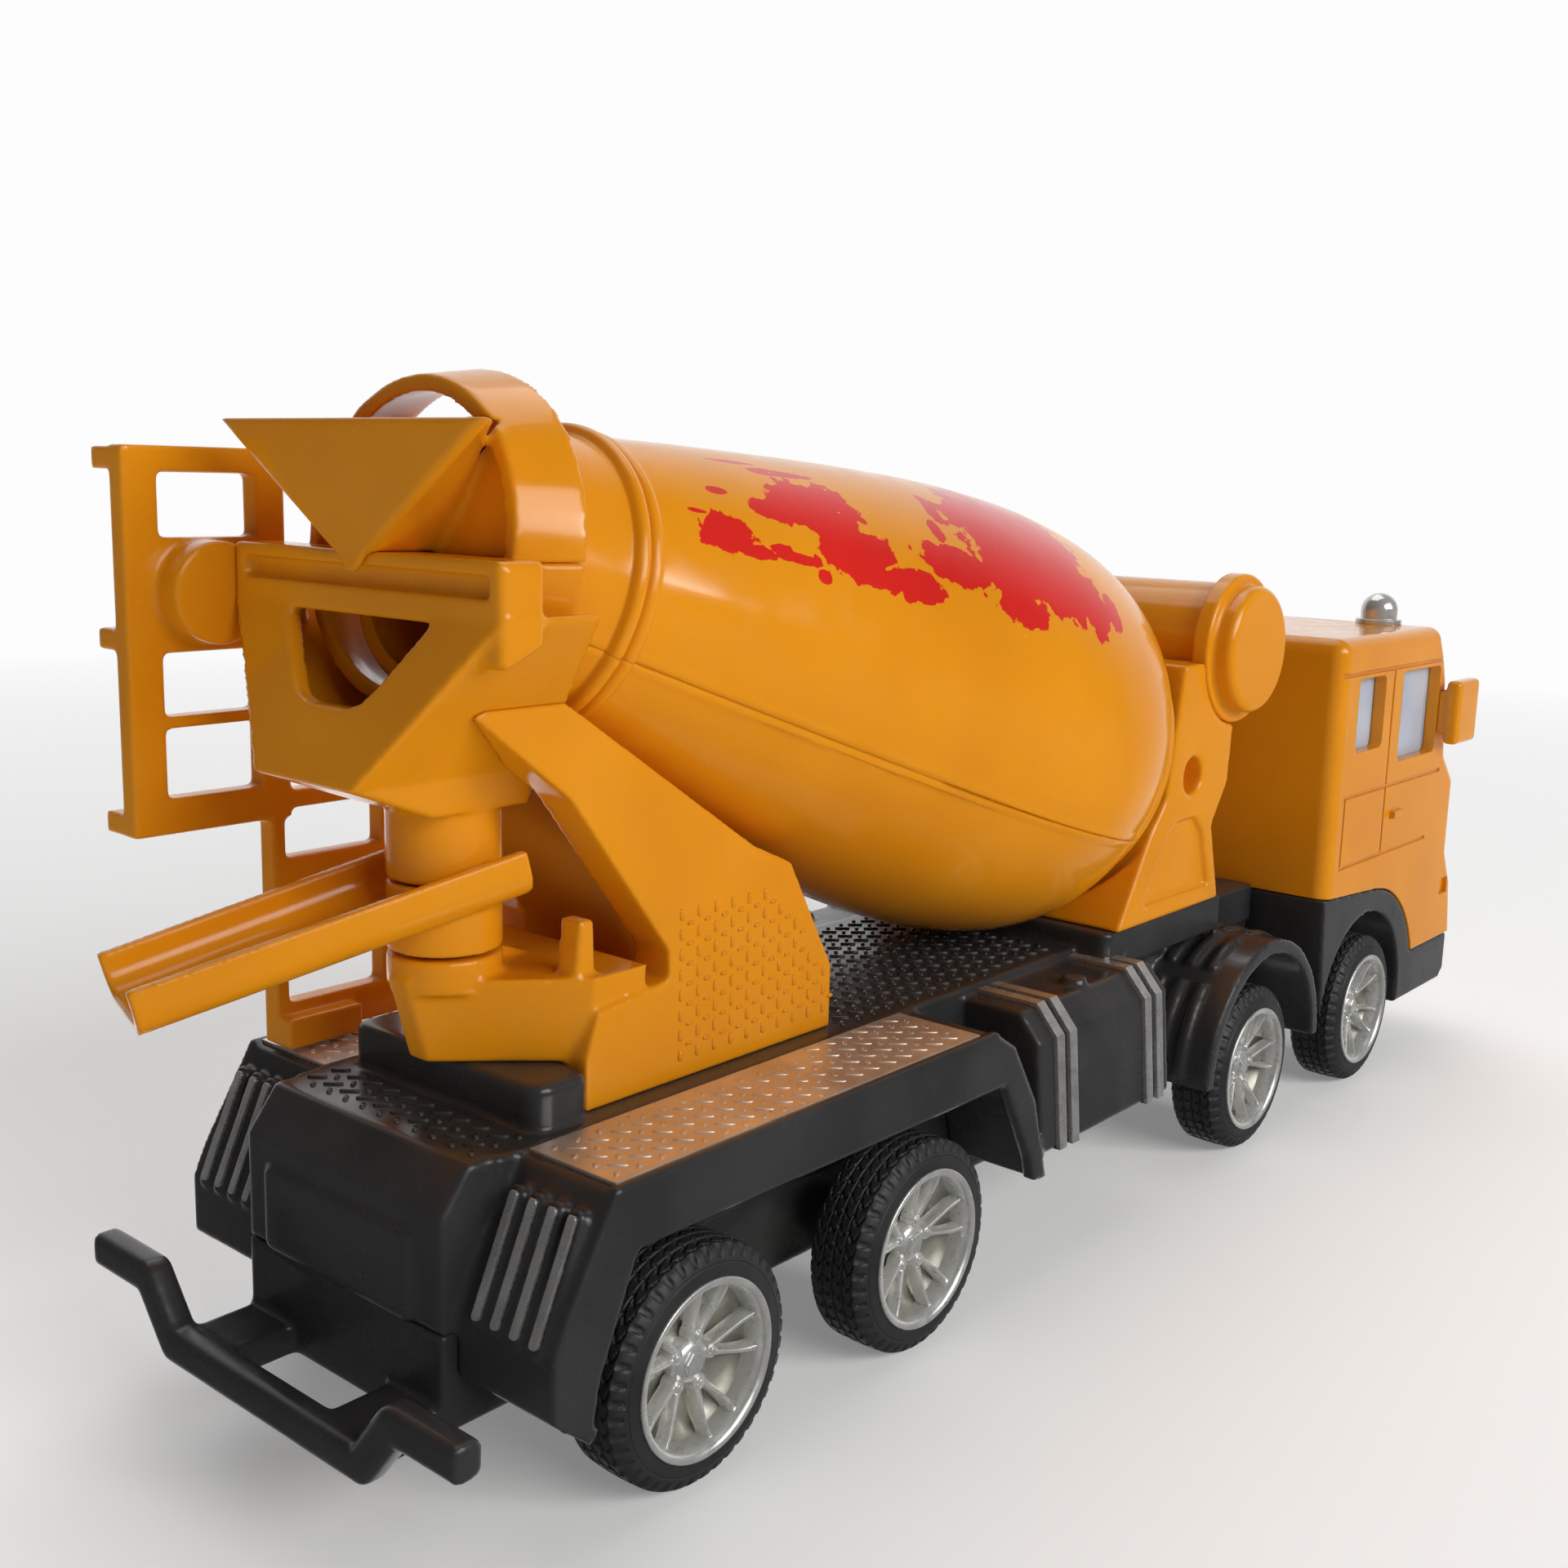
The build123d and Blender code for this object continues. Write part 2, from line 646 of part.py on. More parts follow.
def arch_fender():
    arch = rod_y(ARCH_RADIUS, DECK_HALF_WIDTH - 0.6, SIDE_Y, ARCH_STATION, TYRE_RADIUS)
    half_rib = ARCH_RIB_WIDTH / 2
    for centre in ARCH_RIB_YS:
        arch += rod_y(ARCH_RADIUS + 0.6, centre - half_rib, centre + half_rib, ARCH_STATION, TYRE_RADIUS)
    gaps = Box(3.0, 40.0, 60.0)
    ring_gap = rod_y(ARCH_RADIUS + 3, DECK_HALF_WIDTH - 2, SIDE_Y + 1, ARCH_STATION, TYRE_RADIUS)
    ring_gap -= rod_y(ARCH_RADIUS, DECK_HALF_WIDTH - 3, SIDE_Y + 2, ARCH_STATION, TYRE_RADIUS)
    for angle in (-90, -38, 0, 38, 90):
        arch -= ring_gap & (Pos(at(ARCH_STATION), 20, TYRE_RADIUS) * Rot(0, angle, 0) * Pos(0, 0, 30) * gaps)
    arch -= rod_y(ARCH_RADIUS - ARCH_WALL, DECK_HALF_WIDTH - 3, SIDE_Y + 2, ARCH_STATION, TYRE_RADIUS)
    arch -= block(ARCH_STATION - 30, ARCH_STATION + 30, 0, 40, -20, TYRE_RADIUS + 0.4)
    return arch


def stand_plinth():
    """Low block on the deck under the front stand."""
    plinth = block(88.0, 123.0, -21.4, 21.4, DECK_TOP - 2.6, STAND_BOTTOM)
    return soften(plinth, long_edges(plinth, Axis.Z, 2), 1.5)


def chassis_deck():
    outline = (
        (BLOCK_REAR, SPLIT_Z),
        (BLOCK_REAR, BLOCK_BEVEL_Z),
        (DECK_REAR, DECK_TOP),
        (DECK_FRONT, DECK_TOP),
        (DECK_FRONT, SPLIT_Z),
    )
    spine = side_solid(outline, -BASE_HALF_WIDTH, BASE_HALF_WIDTH)
    spine += block(DECK_REAR + 3, DECK_FRONT, -DECK_HALF_WIDTH, DECK_HALF_WIDTH, DECK_TOP - 6, DECK_TOP)
    spine = soften(spine, spine.edges().filter_by_position(Axis.X, at(BLOCK_REAR) - 0.1, at(DECK_REAR) + 0.1), 0.6)
    inner = (
        (BLOCK_REAR + WALL, SPLIT_Z - 1),
        (BLOCK_REAR + WALL, BLOCK_BEVEL_Z - 0.8),
        (DECK_REAR + 0.8, DECK_TOP - WALL),
        (DECK_FRONT - WALL, DECK_TOP - WALL),
        (DECK_FRONT - WALL, SPLIT_Z - 1),
    )
    half_inside = BASE_HALF_WIDTH - WALL
    deck = spine + both_sides(fender())
    deck += both_sides(tank_box())
    deck += both_sides(arch_fender())
    rear_block = block(-9.5, -2.1, -15.0, 15.0, DECK_TOP - 0.5, 40.0)
    rear_block = soften(rear_block, long_edges(rear_block, Axis.Z, 2), 2.0)
    rear_block = soften(rear_block, rear_block.edges().filter_by_position(Axis.Z, 39.9, 40.1), 0.8)
    deck += rear_block
    deck += stand_plinth()
    deck -= side_solid(inner, -half_inside, half_inside)
    deck -= block(BLOCK_REAR - 1, 185, -BASE_HALF_WIDTH, BASE_HALF_WIDTH, 0, SPLIT_Z)
    for index in range(LOUVRE_COUNT):
        deck += both_sides(louvre_rib(index))
    for strip in louvres():
        deck -= strip
        deck -= other_side(strip)
    plate = block(BLOCK_REAR - 0.8, BLOCK_REAR + 0.2, -11.9, 11.9, SPLIT_Z + 0.2, 28.4)
    plate = soften(plate, long_edges(plate, Axis.X, 0.5), 1.0)
    deck += soften(plate, plate.edges().filter_by_position(Axis.X, at(BLOCK_REAR - 0.9), at(BLOCK_REAR - 0.7)), 0.3)
    deck -= drum_room()
    for s, y in SCREW_PLACES:
        deck += post_z(3.0, BASE_FLOOR_Z + WALL + 0.1, DECK_TOP - WALL, s, y)
        deck -= post_z(SCREW_RADIUS, BASE_FLOOR_Z, BASE_FLOOR_Z + 15, s, y)
    return deck


def tread_plate():
    """Silver-faced tread strip on the left mudguard's top."""
    return block(TREAD_REAR, TREAD_FRONT, DECK_HALF_WIDTH + 0.1, SIDE_Y - 1.0, DECK_TOP - 0.4, DECK_TOP)


def tank_bands():
    """Raised bands over the left tank box, clear of the deck's edge."""
    group = []
    for s in BAND_STATIONS:
        band = cross_solid(tank_outline(BAND_PROUD), s, s + BAND_WIDTH)
        band -= cross_solid(tank_outline(0.0), s - 1, s + BAND_WIDTH + 1)
        band -= block(s - 1, s + BAND_WIDTH + 1, 0, DECK_HALF_WIDTH + 0.1, 0, 60)
        band -= stand_plinth()
        group.append(band)
    return group


def louvre_seat(index):
    """Middle of one rib's face on the slanting panel."""
    lean = math.degrees(math.atan2(-12.8 + 18.7, DECK_TOP - 0.4 - 24.8)) * 0.78
    return Pos(at(-17.7), LOUVRE_FIRST_Y + LOUVRE_PITCH * index, 27.2) * Rot(0, lean, 0)


def louvres():
    """Bright strips along the ribs of the panel behind the left mudguard."""
    group = []
    for index in range(LOUVRE_COUNT):
        strip = Box(1.0, 1.0, 12.2)
        strip = soften(strip, strip.edges().filter_by(Axis.X), 0.4)
        group.append(louvre_seat(index) * strip)
    return group


def louvre_rib(index):
    """Black rib that carries a strip."""
    rib = Box(1.3, 1.95, 13.4)
    rib = soften(rib, rib.edges().filter_by(Axis.X), 0.7)
    rib = soften(rib, rib.edges().filter_by_position(Axis.X, -0.66, -0.64), 0.35)
    return louvre_seat(index) * Pos(0.35, 0, 0) * rib


# ---------------------------------------------------------------- chassis base
def underrun_bar():
    """Cranked bar behind the truck on two arms."""
    low_z = 10.7
    high_z = 16.5
    route = [(-30.0, high_z), (-20.4, high_z), (-15.8, low_z), (15.8, low_z), (20.4, high_z), (30.0, high_z)]
    bar = None
    for (y_a, z_a), (y_b, z_b) in zip(route, route[1:]):
        length = math.hypot(y_b - y_a, z_b - z_a)
        angle = math.degrees(math.atan2(z_b - z_a, y_b - y_a))
        piece = Box(BAR_DEPTH, length, BAR_HEIGHT)
        piece = Pos(at(-30.2), (y_a + y_b) / 2, (z_a + z_b) / 2) * Rot(angle, 0, 0) * piece
        bar = piece if bar is None else bar + piece
    for y, z in route[1:-1]:
        bar += Pos(at(-30.2), y, z) * Rot(0, 90, 0) * Cylinder(BAR_HEIGHT / 2, BAR_DEPTH)
    bar = soften(bar, long_edges(bar, Axis.Y, 6), 0.9)
    arm = block(-30.2, BLOCK_REAR + 0.1, 8.0, 15.4, BASE_FLOOR_Z, BASE_FLOOR_Z + 3.2)
    return bar + both_sides(arm)


def chassis_base():
    pan = block(BLOCK_REAR, 181.0, -BASE_HALF_WIDTH, BASE_HALF_WIDTH, BASE_FLOOR_Z, SPLIT_Z)
    pan = soften(pan, long_edges(pan, Axis.X, 50).filter_by_position(Axis.Z, 8.9, 9.1), 1.0)
    pan -= block(
        BLOCK_REAR + WALL,
        181.0 - WALL,
        -BASE_HALF_WIDTH + WALL,
        BASE_HALF_WIDTH - WALL,
        BASE_FLOOR_Z + WALL,
        SPLIT_Z + 1,
    )
    for station in AXLE_STATIONS:
        boss = rod_y(3.1, BASE_HALF_WIDTH - WALL - 4, 20.3, station, TYRE_RADIUS)
        pan += both_sides(boss)
    for station in AXLE_STATIONS:
        pan -= rod_y(ROD_RADIUS + ROD_CLEARANCE, -40, 40, station, TYRE_RADIUS)
    for s, y in SCREW_PLACES:
        pan -= post_z(SCREW_RADIUS + 0.1, 0, 14, s, y)
        pan -= post_z(2.5, 0, BASE_FLOOR_Z + 0.9, s, y)
    return pan + underrun_bar()


def screws():
    group = []
    for s, y in SCREW_PLACES:
        screw = post_z(2.3, BASE_FLOOR_Z + 0.05, BASE_FLOOR_Z + 0.9, s, y)
        screw += post_z(SCREW_RADIUS, BASE_FLOOR_Z + 0.85, BASE_FLOOR_Z + 12, s, y)
        screw -= block(s - 1.4, s + 1.4, y - 0.25, y + 0.25, BASE_FLOOR_Z, BASE_FLOOR_Z + 0.5)
        screw -= block(s - 0.25, s + 0.25, y - 1.4, y + 1.4, BASE_FLOOR_Z, BASE_FLOOR_Z + 0.5)
        group.append(screw)
    return group


# ---------------------------------------------------------------- wheels
def rod(station):
    return rod_y(ROD_RADIUS, -ROD_HALF_LENGTH, ROD_HALF_LENGTH, station, TYRE_RADIUS)


def tyre(station):
    """Left tyre."""
    ring = rod_y(TYRE_RADIUS, TYRE_OUTER_Y - TYRE_WIDTH, TYRE_OUTER_Y, station, TYRE_RADIUS)
    ring = soften(ring, ring.edges().filter_by(GeomType.CIRCLE), TYRE_SHOULDER)
    return ring - rod_y(RIM_RADIUS, 0, 40, station, TYRE_RADIUS)


def rim(station):
    """Left rim: barrel, back disc, hub and paired spokes, with a blind hole for the rod."""
    inner_y = TYRE_OUTER_Y - TYRE_WIDTH + 0.6
    face_y = TYRE_OUTER_Y - 0.3
    barrel = rod_y(RIM_RADIUS, inner_y, face_y, station, TYRE_RADIUS)
    barrel -= rod_y(RIM_RADIUS - RIM_BARREL, inner_y + RIM_DISC, face_y + 1, station, TYRE_RADIUS)
    barrel += rod_y(RIM_LIP_RADIUS, TYRE_OUTER_Y, TYRE_OUTER_Y + 0.3, station, TYRE_RADIUS)
    barrel += rod_y(RIM_RADIUS, face_y - 0.1, TYRE_OUTER_Y + 0.1, station, TYRE_RADIUS)
    barrel -= rod_y(RIM_RADIUS - RIM_BARREL, face_y - 2, TYRE_OUTER_Y + 1, station, TYRE_RADIUS)
    barrel += rod_y(RIM_HUB_RADIUS, inner_y, face_y - 0.5, station, TYRE_RADIUS)
    spoke_length = RIM_RADIUS - 1.5
    hub = Pos(at(station), face_y - 1.7, TYRE_RADIUS)
    for index in range(SPOKE_PAIRS):
        for side in (-1, 1):
            angle = 360.0 * index / SPOKE_PAIRS + side * SPOKE_SPREAD
            bar = Pos(spoke_length / 2 + 1.0, 0, 0) * Box(spoke_length, 1.6, SPOKE_WIDTH)
            barrel += hub * Rot(0, angle, 0) * bar
    barrel -= rod_y(ROD_RADIUS, 0, ROD_HALF_LENGTH + 0.1, station, TYRE_RADIUS)
    return barrel


# ---------------------------------------------------------------- cab
def cab_outline_face(inset):
    outline = Polyline(*[(at(s), 0, z) for s, z in CAB_OUTLINE], close=True)
    face = make_face(outline)
    return face if inset == 0 else offset(face, amount=-inset, kind=Kind.INTERSECTION)


def cab_form(inset, half_width):
    face = cab_outline_face(inset)
    return extrude(face, amount=half_width, dir=(0, 1, 0), both=True)


def window(s_low, s_high, z_low, z_high):
    """Side window cutter, rounded at its corners, right through both cab walls."""
    opening = block(s_low, s_high, -40, 40, z_low, z_high)
    return soften(opening, opening.edges().filter_by(Axis.Y), 1.2)


def cab_shell():
    shell = cab_form(0, CAB_HALF_WIDTH)
    cross = long_edges(shell, Axis.Y, 20)
    roof_edges = cross.filter_by_position(Axis.Z, 75.0, 77.0)
    shell = soften(shell, roof_edges, 2.5)
    front_edges = long_edges(shell, Axis.Y, 20).filter_by_position(Axis.X, at(192.0), at(204.0))
    shell = soften(shell, front_edges, 1.2)
    for y in (-CAB_HALF_WIDTH, CAB_HALF_WIDTH):
        rails = shell.edges().filter_by_position(Axis.Y, y - 0.05, y + 0.05)
        rails = rails.filter_by(lambda edge: edge.center().Z > CAB_BOTTOM + 0.5)
        shell = soften(shell, rails, 2.4)
    shell -= block(140, 200, CAB_HALF_WIDTH - 0.5, 40, 70.0, 70.6)
    shell -= block(140, 200, -40, -CAB_HALF_WIDTH + 0.5, 70.0, 70.6)
    shell -= cab_form(CAB_WALL, CAB_HALF_WIDTH - CAB_WALL)
    shell -= block(146.0, 178.2, -CAB_HALF_WIDTH + CAB_WALL, CAB_HALF_WIDTH - CAB_WALL, 20, 40)
    shell -= block(176.0, 200.0, -CAB_HALF_WIDTH + CAB_WALL, CAB_HALF_WIDTH - CAB_WALL, 17, 30)
    shell -= window(151.0, 162.0, 57.5, 69.4)
    shell -= window(169.5, 186.6, 54.2, 69.4)
    screen = block(184.0, 205.0, -24.5, 24.5, 55.5, 69.0)
    screen = soften(screen, screen.edges().filter_by(Axis.X), 2.0)
    shell -= screen
    shell -= rod_y(CAB_ARCH_RADIUS, -40, 40, CAB_ARCH_STATION, CAB_ARCH_Z)
    groove = 0.35
    for y in (-CAB_HALF_WIDTH, CAB_HALF_WIDTH):
        low = y - groove if y > 0 else y - 1
        high = y + 1 if y > 0 else y + groove
        shell -= block(165.2, 165.8, low, high, 39.0, 69.9)
        shell -= block(148.0, 190.5, low, high, 50.2, 50.8)
        shell -= block(148.4, 149.0, low, high, 39.0, 50.2)
        shell -= block(148.4, 186.0, low, high, 38.6, 39.2)
    for z in (37.2, 40.4, 43.6):
        slot = block(197.6, 200.0, -17.0, 17.0, z, z + 1.5)
        shell -= soften(slot, slot.edges().filter_by(Axis.X), 0.5)
    for side in (-1, 1):
        handle = Pos(at(170.6), side * (CAB_HALF_WIDTH + 0.3), 45.2) * Box(4.2, 1.2, 1.2)
        shell += soften(handle, handle.edges().filter_by(Axis.X), 0.4)
        lamp_recess = Pos(at(198.2), side * CAB_HALF_WIDTH, 28.0) * Box(3.6, 1.6, 3.0)
        shell -= lamp_recess
        lamp_seat = block(197.0, 206.0, 19.0 * side - 4.4, 19.0 * side + 4.4, 29.4, 34.4)
        shell -= lamp_seat
    return shell


def headlamp(side):
    """Lamp block filling its seat in the nose, with a sloping lens face."""
    outline = ((197.1, 29.5), (202.4, 29.5), (199.5, 34.3), (197.1, 34.3))
    lamp = side_solid(outline, 19.0 * side - 4.3, 19.0 * side + 4.3)
    return soften(lamp, lamp.edges().filter_by_position(Axis.X, at(199.3), at(203.0)), 0.6)


def cab_glazing():
    outer = cab_form(CAB_WALL + 0.08, CAB_HALF_WIDTH - CAB_WALL - 0.08)
    inner = cab_form(CAB_WALL + 1.1, CAB_HALF_WIDTH - CAB_WALL - 1.1)
    zone = block(149.0, 200.0, -40, 40, 52.0, 71.6)
    return (outer - inner) & zone


def mirror_piece():
    """Left mirror: a slab on a short arm from the front pillar."""
    slab = block(186.4, 196.4, 30.0, 32.6, 55.6, 66.8)
    slab = soften(slab, slab.edges(), 0.8)
    arm = block(186.9, 189.8, CAB_HALF_WIDTH, 30.6, 57.4, 65.0)
    return slab + arm


def beacon():
    """Left roof beacon: a domed lens on a round foot."""
    foot = post_z(3.9, CAB_ROOF, CAB_ROOF + 0.8, BEACON_STATION, BEACON_Y)
    barrel = post_z(3.1, CAB_ROOF + 0.7, CAB_ROOF + 2.4, BEACON_STATION, BEACON_Y)
    dome = Sphere(3.1, arc_size1=0, align=(Align.CENTER, Align.CENTER, Align.MIN))
    return foot + barrel + Pos(at(BEACON_STATION), BEACON_Y, CAB_ROOF + 2.3) * dome


def cab_base():
    side_outline = (
        (CAB_REAR, CAB_BOTTOM - FIT_GAP),
        (166.0, 32.9 - FIT_GAP),
        (184.0, 32.9 - FIT_GAP),
        (184.0, 18.4),
        (202.4, 18.4),
        (202.4, 11.5),
        (200.4, 10.0),
        (181.2, 10.0),
        (149.1, 6.8),
        (146.9, 6.8),
    )
    form = side_solid(side_outline, -CAB_HALF_WIDTH + 0.1, CAB_HALF_WIDTH - 0.1)
    arch_room = rod_y(60, -40, 40, CAB_ARCH_STATION, CAB_ARCH_Z)
    arch_room -= rod_y(CAB_ARCH_RADIUS - FIT_GAP, -41, 41, CAB_ARCH_STATION, CAB_ARCH_Z)
    keep_rear = block(CAB_REAR - 1, 164.5, -40, 40, 0, CAB_BOTTOM)
    keep_front = block(180.0, 210.0, -40, 40, 0, 18.45)
    form = (form - arch_room) + (form & keep_rear) + (form & keep_front)
    for side in (-1, 1):
        low, high = sorted((side * 16.9, side * 40.0))
        form -= rod_y(WHEEL_WELL_RADIUS, low, high, AXLE_STATIONS[3], TYRE_RADIUS)
        form -= block(146.7, 178.0, low, high, -5, TYRE_RADIUS)
    form -= block(CAB_REAR - 1, 181.2, -17.0, 17.0, 0, SPLIT_Z + FIT_GAP)
    form -= block(CAB_REAR + 2.5, 182.0, -14.5, 14.5, 0, 31.5)
    form = soften(form, long_edges(form, Axis.Y, 20).filter_by_position(Axis.X, at(200.0), at(203.0)), 0.8)
    return form


# ---------------------------------------------------------------- write the parts
def main():
    parts = {
        "chassis_deck": chassis_deck(),
        "chassis_base": chassis_base(),
        "chassis_screws": Compound(children=screws()),
        "tread_plate_left": tread_plate(),
        "tread_plate_right": other_side(tread_plate()),
        "tank_bands_left": Compound(children=tank_bands()),
        "tank_bands_right": Compound(children=[other_side(band) for band in tank_bands()]),
        "vent_louvres_left": Compound(children=louvres()),
        "vent_louvres_right": Compound(children=[other_side(strip) for strip in louvres()]),
        "rear_pedestal": rear_pedestal(),
        "drum_yoke": drum_yoke(),
        "hopper": hopper(),
        "discharge_chute": discharge_chute(),
        "ladder": ladder(),
        "front_stand": front_stand(),
        "water_tank": water_tank(),
        "tank_cap_left": tank_cap(),
        "tank_cap_right": other_side(tank_cap()),
        "drum_half_lower": drum_half(1),
        "drum_half_upper": drum_half(-1),
        "drum_front_cap": drum_front_cap(),
        "cab_shell": cab_shell(),
        "cab_base": cab_base(),
        "cab_glazing": cab_glazing(),
        "mirror_left": mirror_piece(),
        "mirror_right": other_side(mirror_piece()),
        "roof_beacon_left": beacon(),
        "roof_beacon_right": other_side(beacon()),
        "headlamp_left": headlamp(1),
        "headlamp_right": headlamp(-1),
    }
    for number, station in enumerate(AXLE_STATIONS, start=1):
        parts[f"axle_rod_{number}"] = rod(station)
        parts[f"rim_{number}_left"] = rim(station)
        parts[f"rim_{number}_right"] = other_side(rim(station))
        parts[f"tyre_{number}_left"] = tyre(station)
        parts[f"tyre_{number}_right"] = other_side(tyre(station))
    os.makedirs("parts", exist_ok=True)
    for name, shape in parts.items():
        export_step(shape, f"parts/{name}.step")


main()
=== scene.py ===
import json
import math
import random

import bmesh
import bpy
from mathutils import Matrix, Vector


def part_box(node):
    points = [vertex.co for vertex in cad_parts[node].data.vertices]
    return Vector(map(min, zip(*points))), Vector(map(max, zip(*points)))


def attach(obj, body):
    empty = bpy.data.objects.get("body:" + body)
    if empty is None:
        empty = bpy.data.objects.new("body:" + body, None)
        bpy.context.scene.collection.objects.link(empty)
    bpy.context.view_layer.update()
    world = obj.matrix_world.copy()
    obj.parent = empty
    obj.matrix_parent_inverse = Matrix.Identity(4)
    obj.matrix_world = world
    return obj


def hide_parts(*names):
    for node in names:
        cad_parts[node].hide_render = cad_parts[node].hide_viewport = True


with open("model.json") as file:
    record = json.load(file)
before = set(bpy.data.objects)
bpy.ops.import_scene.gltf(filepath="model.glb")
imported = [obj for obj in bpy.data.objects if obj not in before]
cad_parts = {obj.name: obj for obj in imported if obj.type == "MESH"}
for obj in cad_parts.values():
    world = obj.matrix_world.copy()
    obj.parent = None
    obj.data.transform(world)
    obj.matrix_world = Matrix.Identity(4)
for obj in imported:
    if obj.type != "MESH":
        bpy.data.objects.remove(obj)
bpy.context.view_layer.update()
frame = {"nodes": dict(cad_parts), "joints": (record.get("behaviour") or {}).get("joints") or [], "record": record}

# Toy cement mixer truck. Metres, +X to the cab, +Y to the truck's left, +Z up.
NODES = frame["nodes"]
JOINTS = {joint["name"]: joint for joint in frame["joints"]}
MM = 0.001


def middle(node):
    """Middle of a CAD node's box at rest."""
    low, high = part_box(node)
    return (low + high) / 2


REAR_AXLE = middle("axle_rod_1")


def at(station, y, z):
    """Point given by millimetres ahead of the rear axle, to the left and up."""
    return Vector((REAR_AXLE.x + station * MM, y * MM, z * MM))


# ---------------------------------------------------------------- node helpers
# Span of a noise's values that gloss follows, samples of the edge rounding and softness of a speck's rim.
NOISE_LOW = 0.3
NOISE_HIGH = 0.7
EDGE_SAMPLES = 4
SPECK_RIM = 0.8


def new_material(name, colour, roughness, metallic=0.0):
    material = bpy.data.materials.new(name)
    material.use_nodes = True
    shader = material.node_tree.nodes["Principled BSDF"]
    shader.inputs["Base Color"].default_value = (*colour, 1.0)
    shader.inputs["Roughness"].default_value = roughness
    shader.inputs["Metallic"].default_value = metallic
    return material


def add_node(material, kind):
    return material.node_tree.nodes.new(kind)


def link(material, output, target):
    material.node_tree.links.new(output, target)


def shader_of(material):
    return material.node_tree.nodes["Principled BSDF"]


def noise(material, waves_per_metre, detail=2.0, stretch=(1.0, 1.0, 1.0)):
    """Noise over the piece's own coordinates."""
    place = add_node(material, "ShaderNodeTexCoord")
    mapping = add_node(material, "ShaderNodeMapping")
    mapping.inputs["Scale"].default_value = stretch
    texture = add_node(material, "ShaderNodeTexNoise")
    texture.inputs["Scale"].default_value = waves_per_metre
    texture.inputs["Detail"].default_value = detail
    link(material, place.outputs["Object"], mapping.inputs["Vector"])
    link(material, mapping.outputs["Vector"], texture.inputs["Vector"])
    return texture.outputs["Fac"]


def remap(material, value, start, stop, low, high):
    """Value from start..stop carried to low..high, held at the ends."""
    node = add_node(material, "ShaderNodeMapRange")
    node.inputs["From Min"].default_value = start
    node.inputs["From Max"].default_value = stop
    node.inputs["To Min"].default_value = low
    node.inputs["To Max"].default_value = high
    link(material, value, node.inputs["Value"])
    return node.outputs["Result"]


def maths(material, operation, first, second):
    node = add_node(material, "ShaderNodeMath")
    node.operation = operation
    for socket, value in zip(node.inputs, (first, second)):
        if isinstance(value, (int, float)):
            socket.default_value = value
        else:
            link(material, value, socket)
    return node.outputs["Value"]


def mixed(material, amount, first, second):
    """Colour between first and second; each is a colour or a node's output."""
    node = add_node(material, "ShaderNodeMix")
    node.data_type = "RGBA"
    link(material, amount, node.inputs[0])
    for socket, colour in ((node.inputs[6], first), (node.inputs[7], second)):
        if isinstance(colour, tuple):
            socket.default_value = (*colour, 1.0)
        else:
            link(material, colour, socket)
    return node.outputs[2]


def set_colour(material, output):
    link(material, output, shader_of(material).inputs["Base Color"])


def set_roughness(material, value, low, high):
    roughness = remap(material, value, NOISE_LOW, NOISE_HIGH, low, high)
    link(material, roughness, shader_of(material).inputs["Roughness"])


def relief(material, layers, edge_radius=0.0):
    """Surface relief from (height output, depth in metres), over edges that look rounded."""
    normal = None
    if edge_radius:
        edges = add_node(material, "ShaderNodeBevel")
        edges.samples = EDGE_SAMPLES
        edges.inputs["Radius"].default_value = edge_radius
        normal = edges.outputs["Normal"]
    for height, depth in layers:
        bump = add_node(material, "ShaderNodeBump")
        bump.inputs["Distance"].default_value = depth
        link(material, height, bump.inputs["Height"])
        if normal:
            link(material, normal, bump.inputs["Normal"])
        normal = bump.outputs["Normal"]
    link(material, normal, shader_of(material).inputs["Normal"])


def speckle(material, base, dust, waves_per_metre, share):
    """Base colour with fine scattered specks of another colour."""
    grain = noise(material, waves_per_metre, 1.0)
    amount = remap(material, grain, 1 - share, 1 - share * SPECK_RIM, 0.0, 1.0)
    return mixed(material, amount, base, dust)


# ---------------------------------------------------------------- materials
ORANGE = (0.80, 0.300, 0.008)
ORANGE_DEEP = (0.73, 0.262, 0.006)
PRINT_RED = (0.70, 0.020, 0.014)
PRINT_RED_DEEP = (0.62, 0.016, 0.012)
WHITE = (1.0, 1.0, 1.0)
BLACK = (0.0, 0.0, 0.0)
PAPER = (0.88, 0.88, 0.88)
# Strength of the world round the truck and on its far side, metres where the floor starts and ends
# brightening and its glow beside the truck, and size of the stage in metres.
WORLD_SOFT = 0.08
WORLD_BRIGHT = 0.98
FLOOR_PLAIN = 0.15
FLOOR_BRIGHT = 0.75
FLOOR_GLOW = 0.20
STAGE_REACH = 3.0
WALL_RADIUS = 2.9
WALL_FOOT = -0.01
WALL_HEIGHT = 4.0
WALL_STEPS = 96


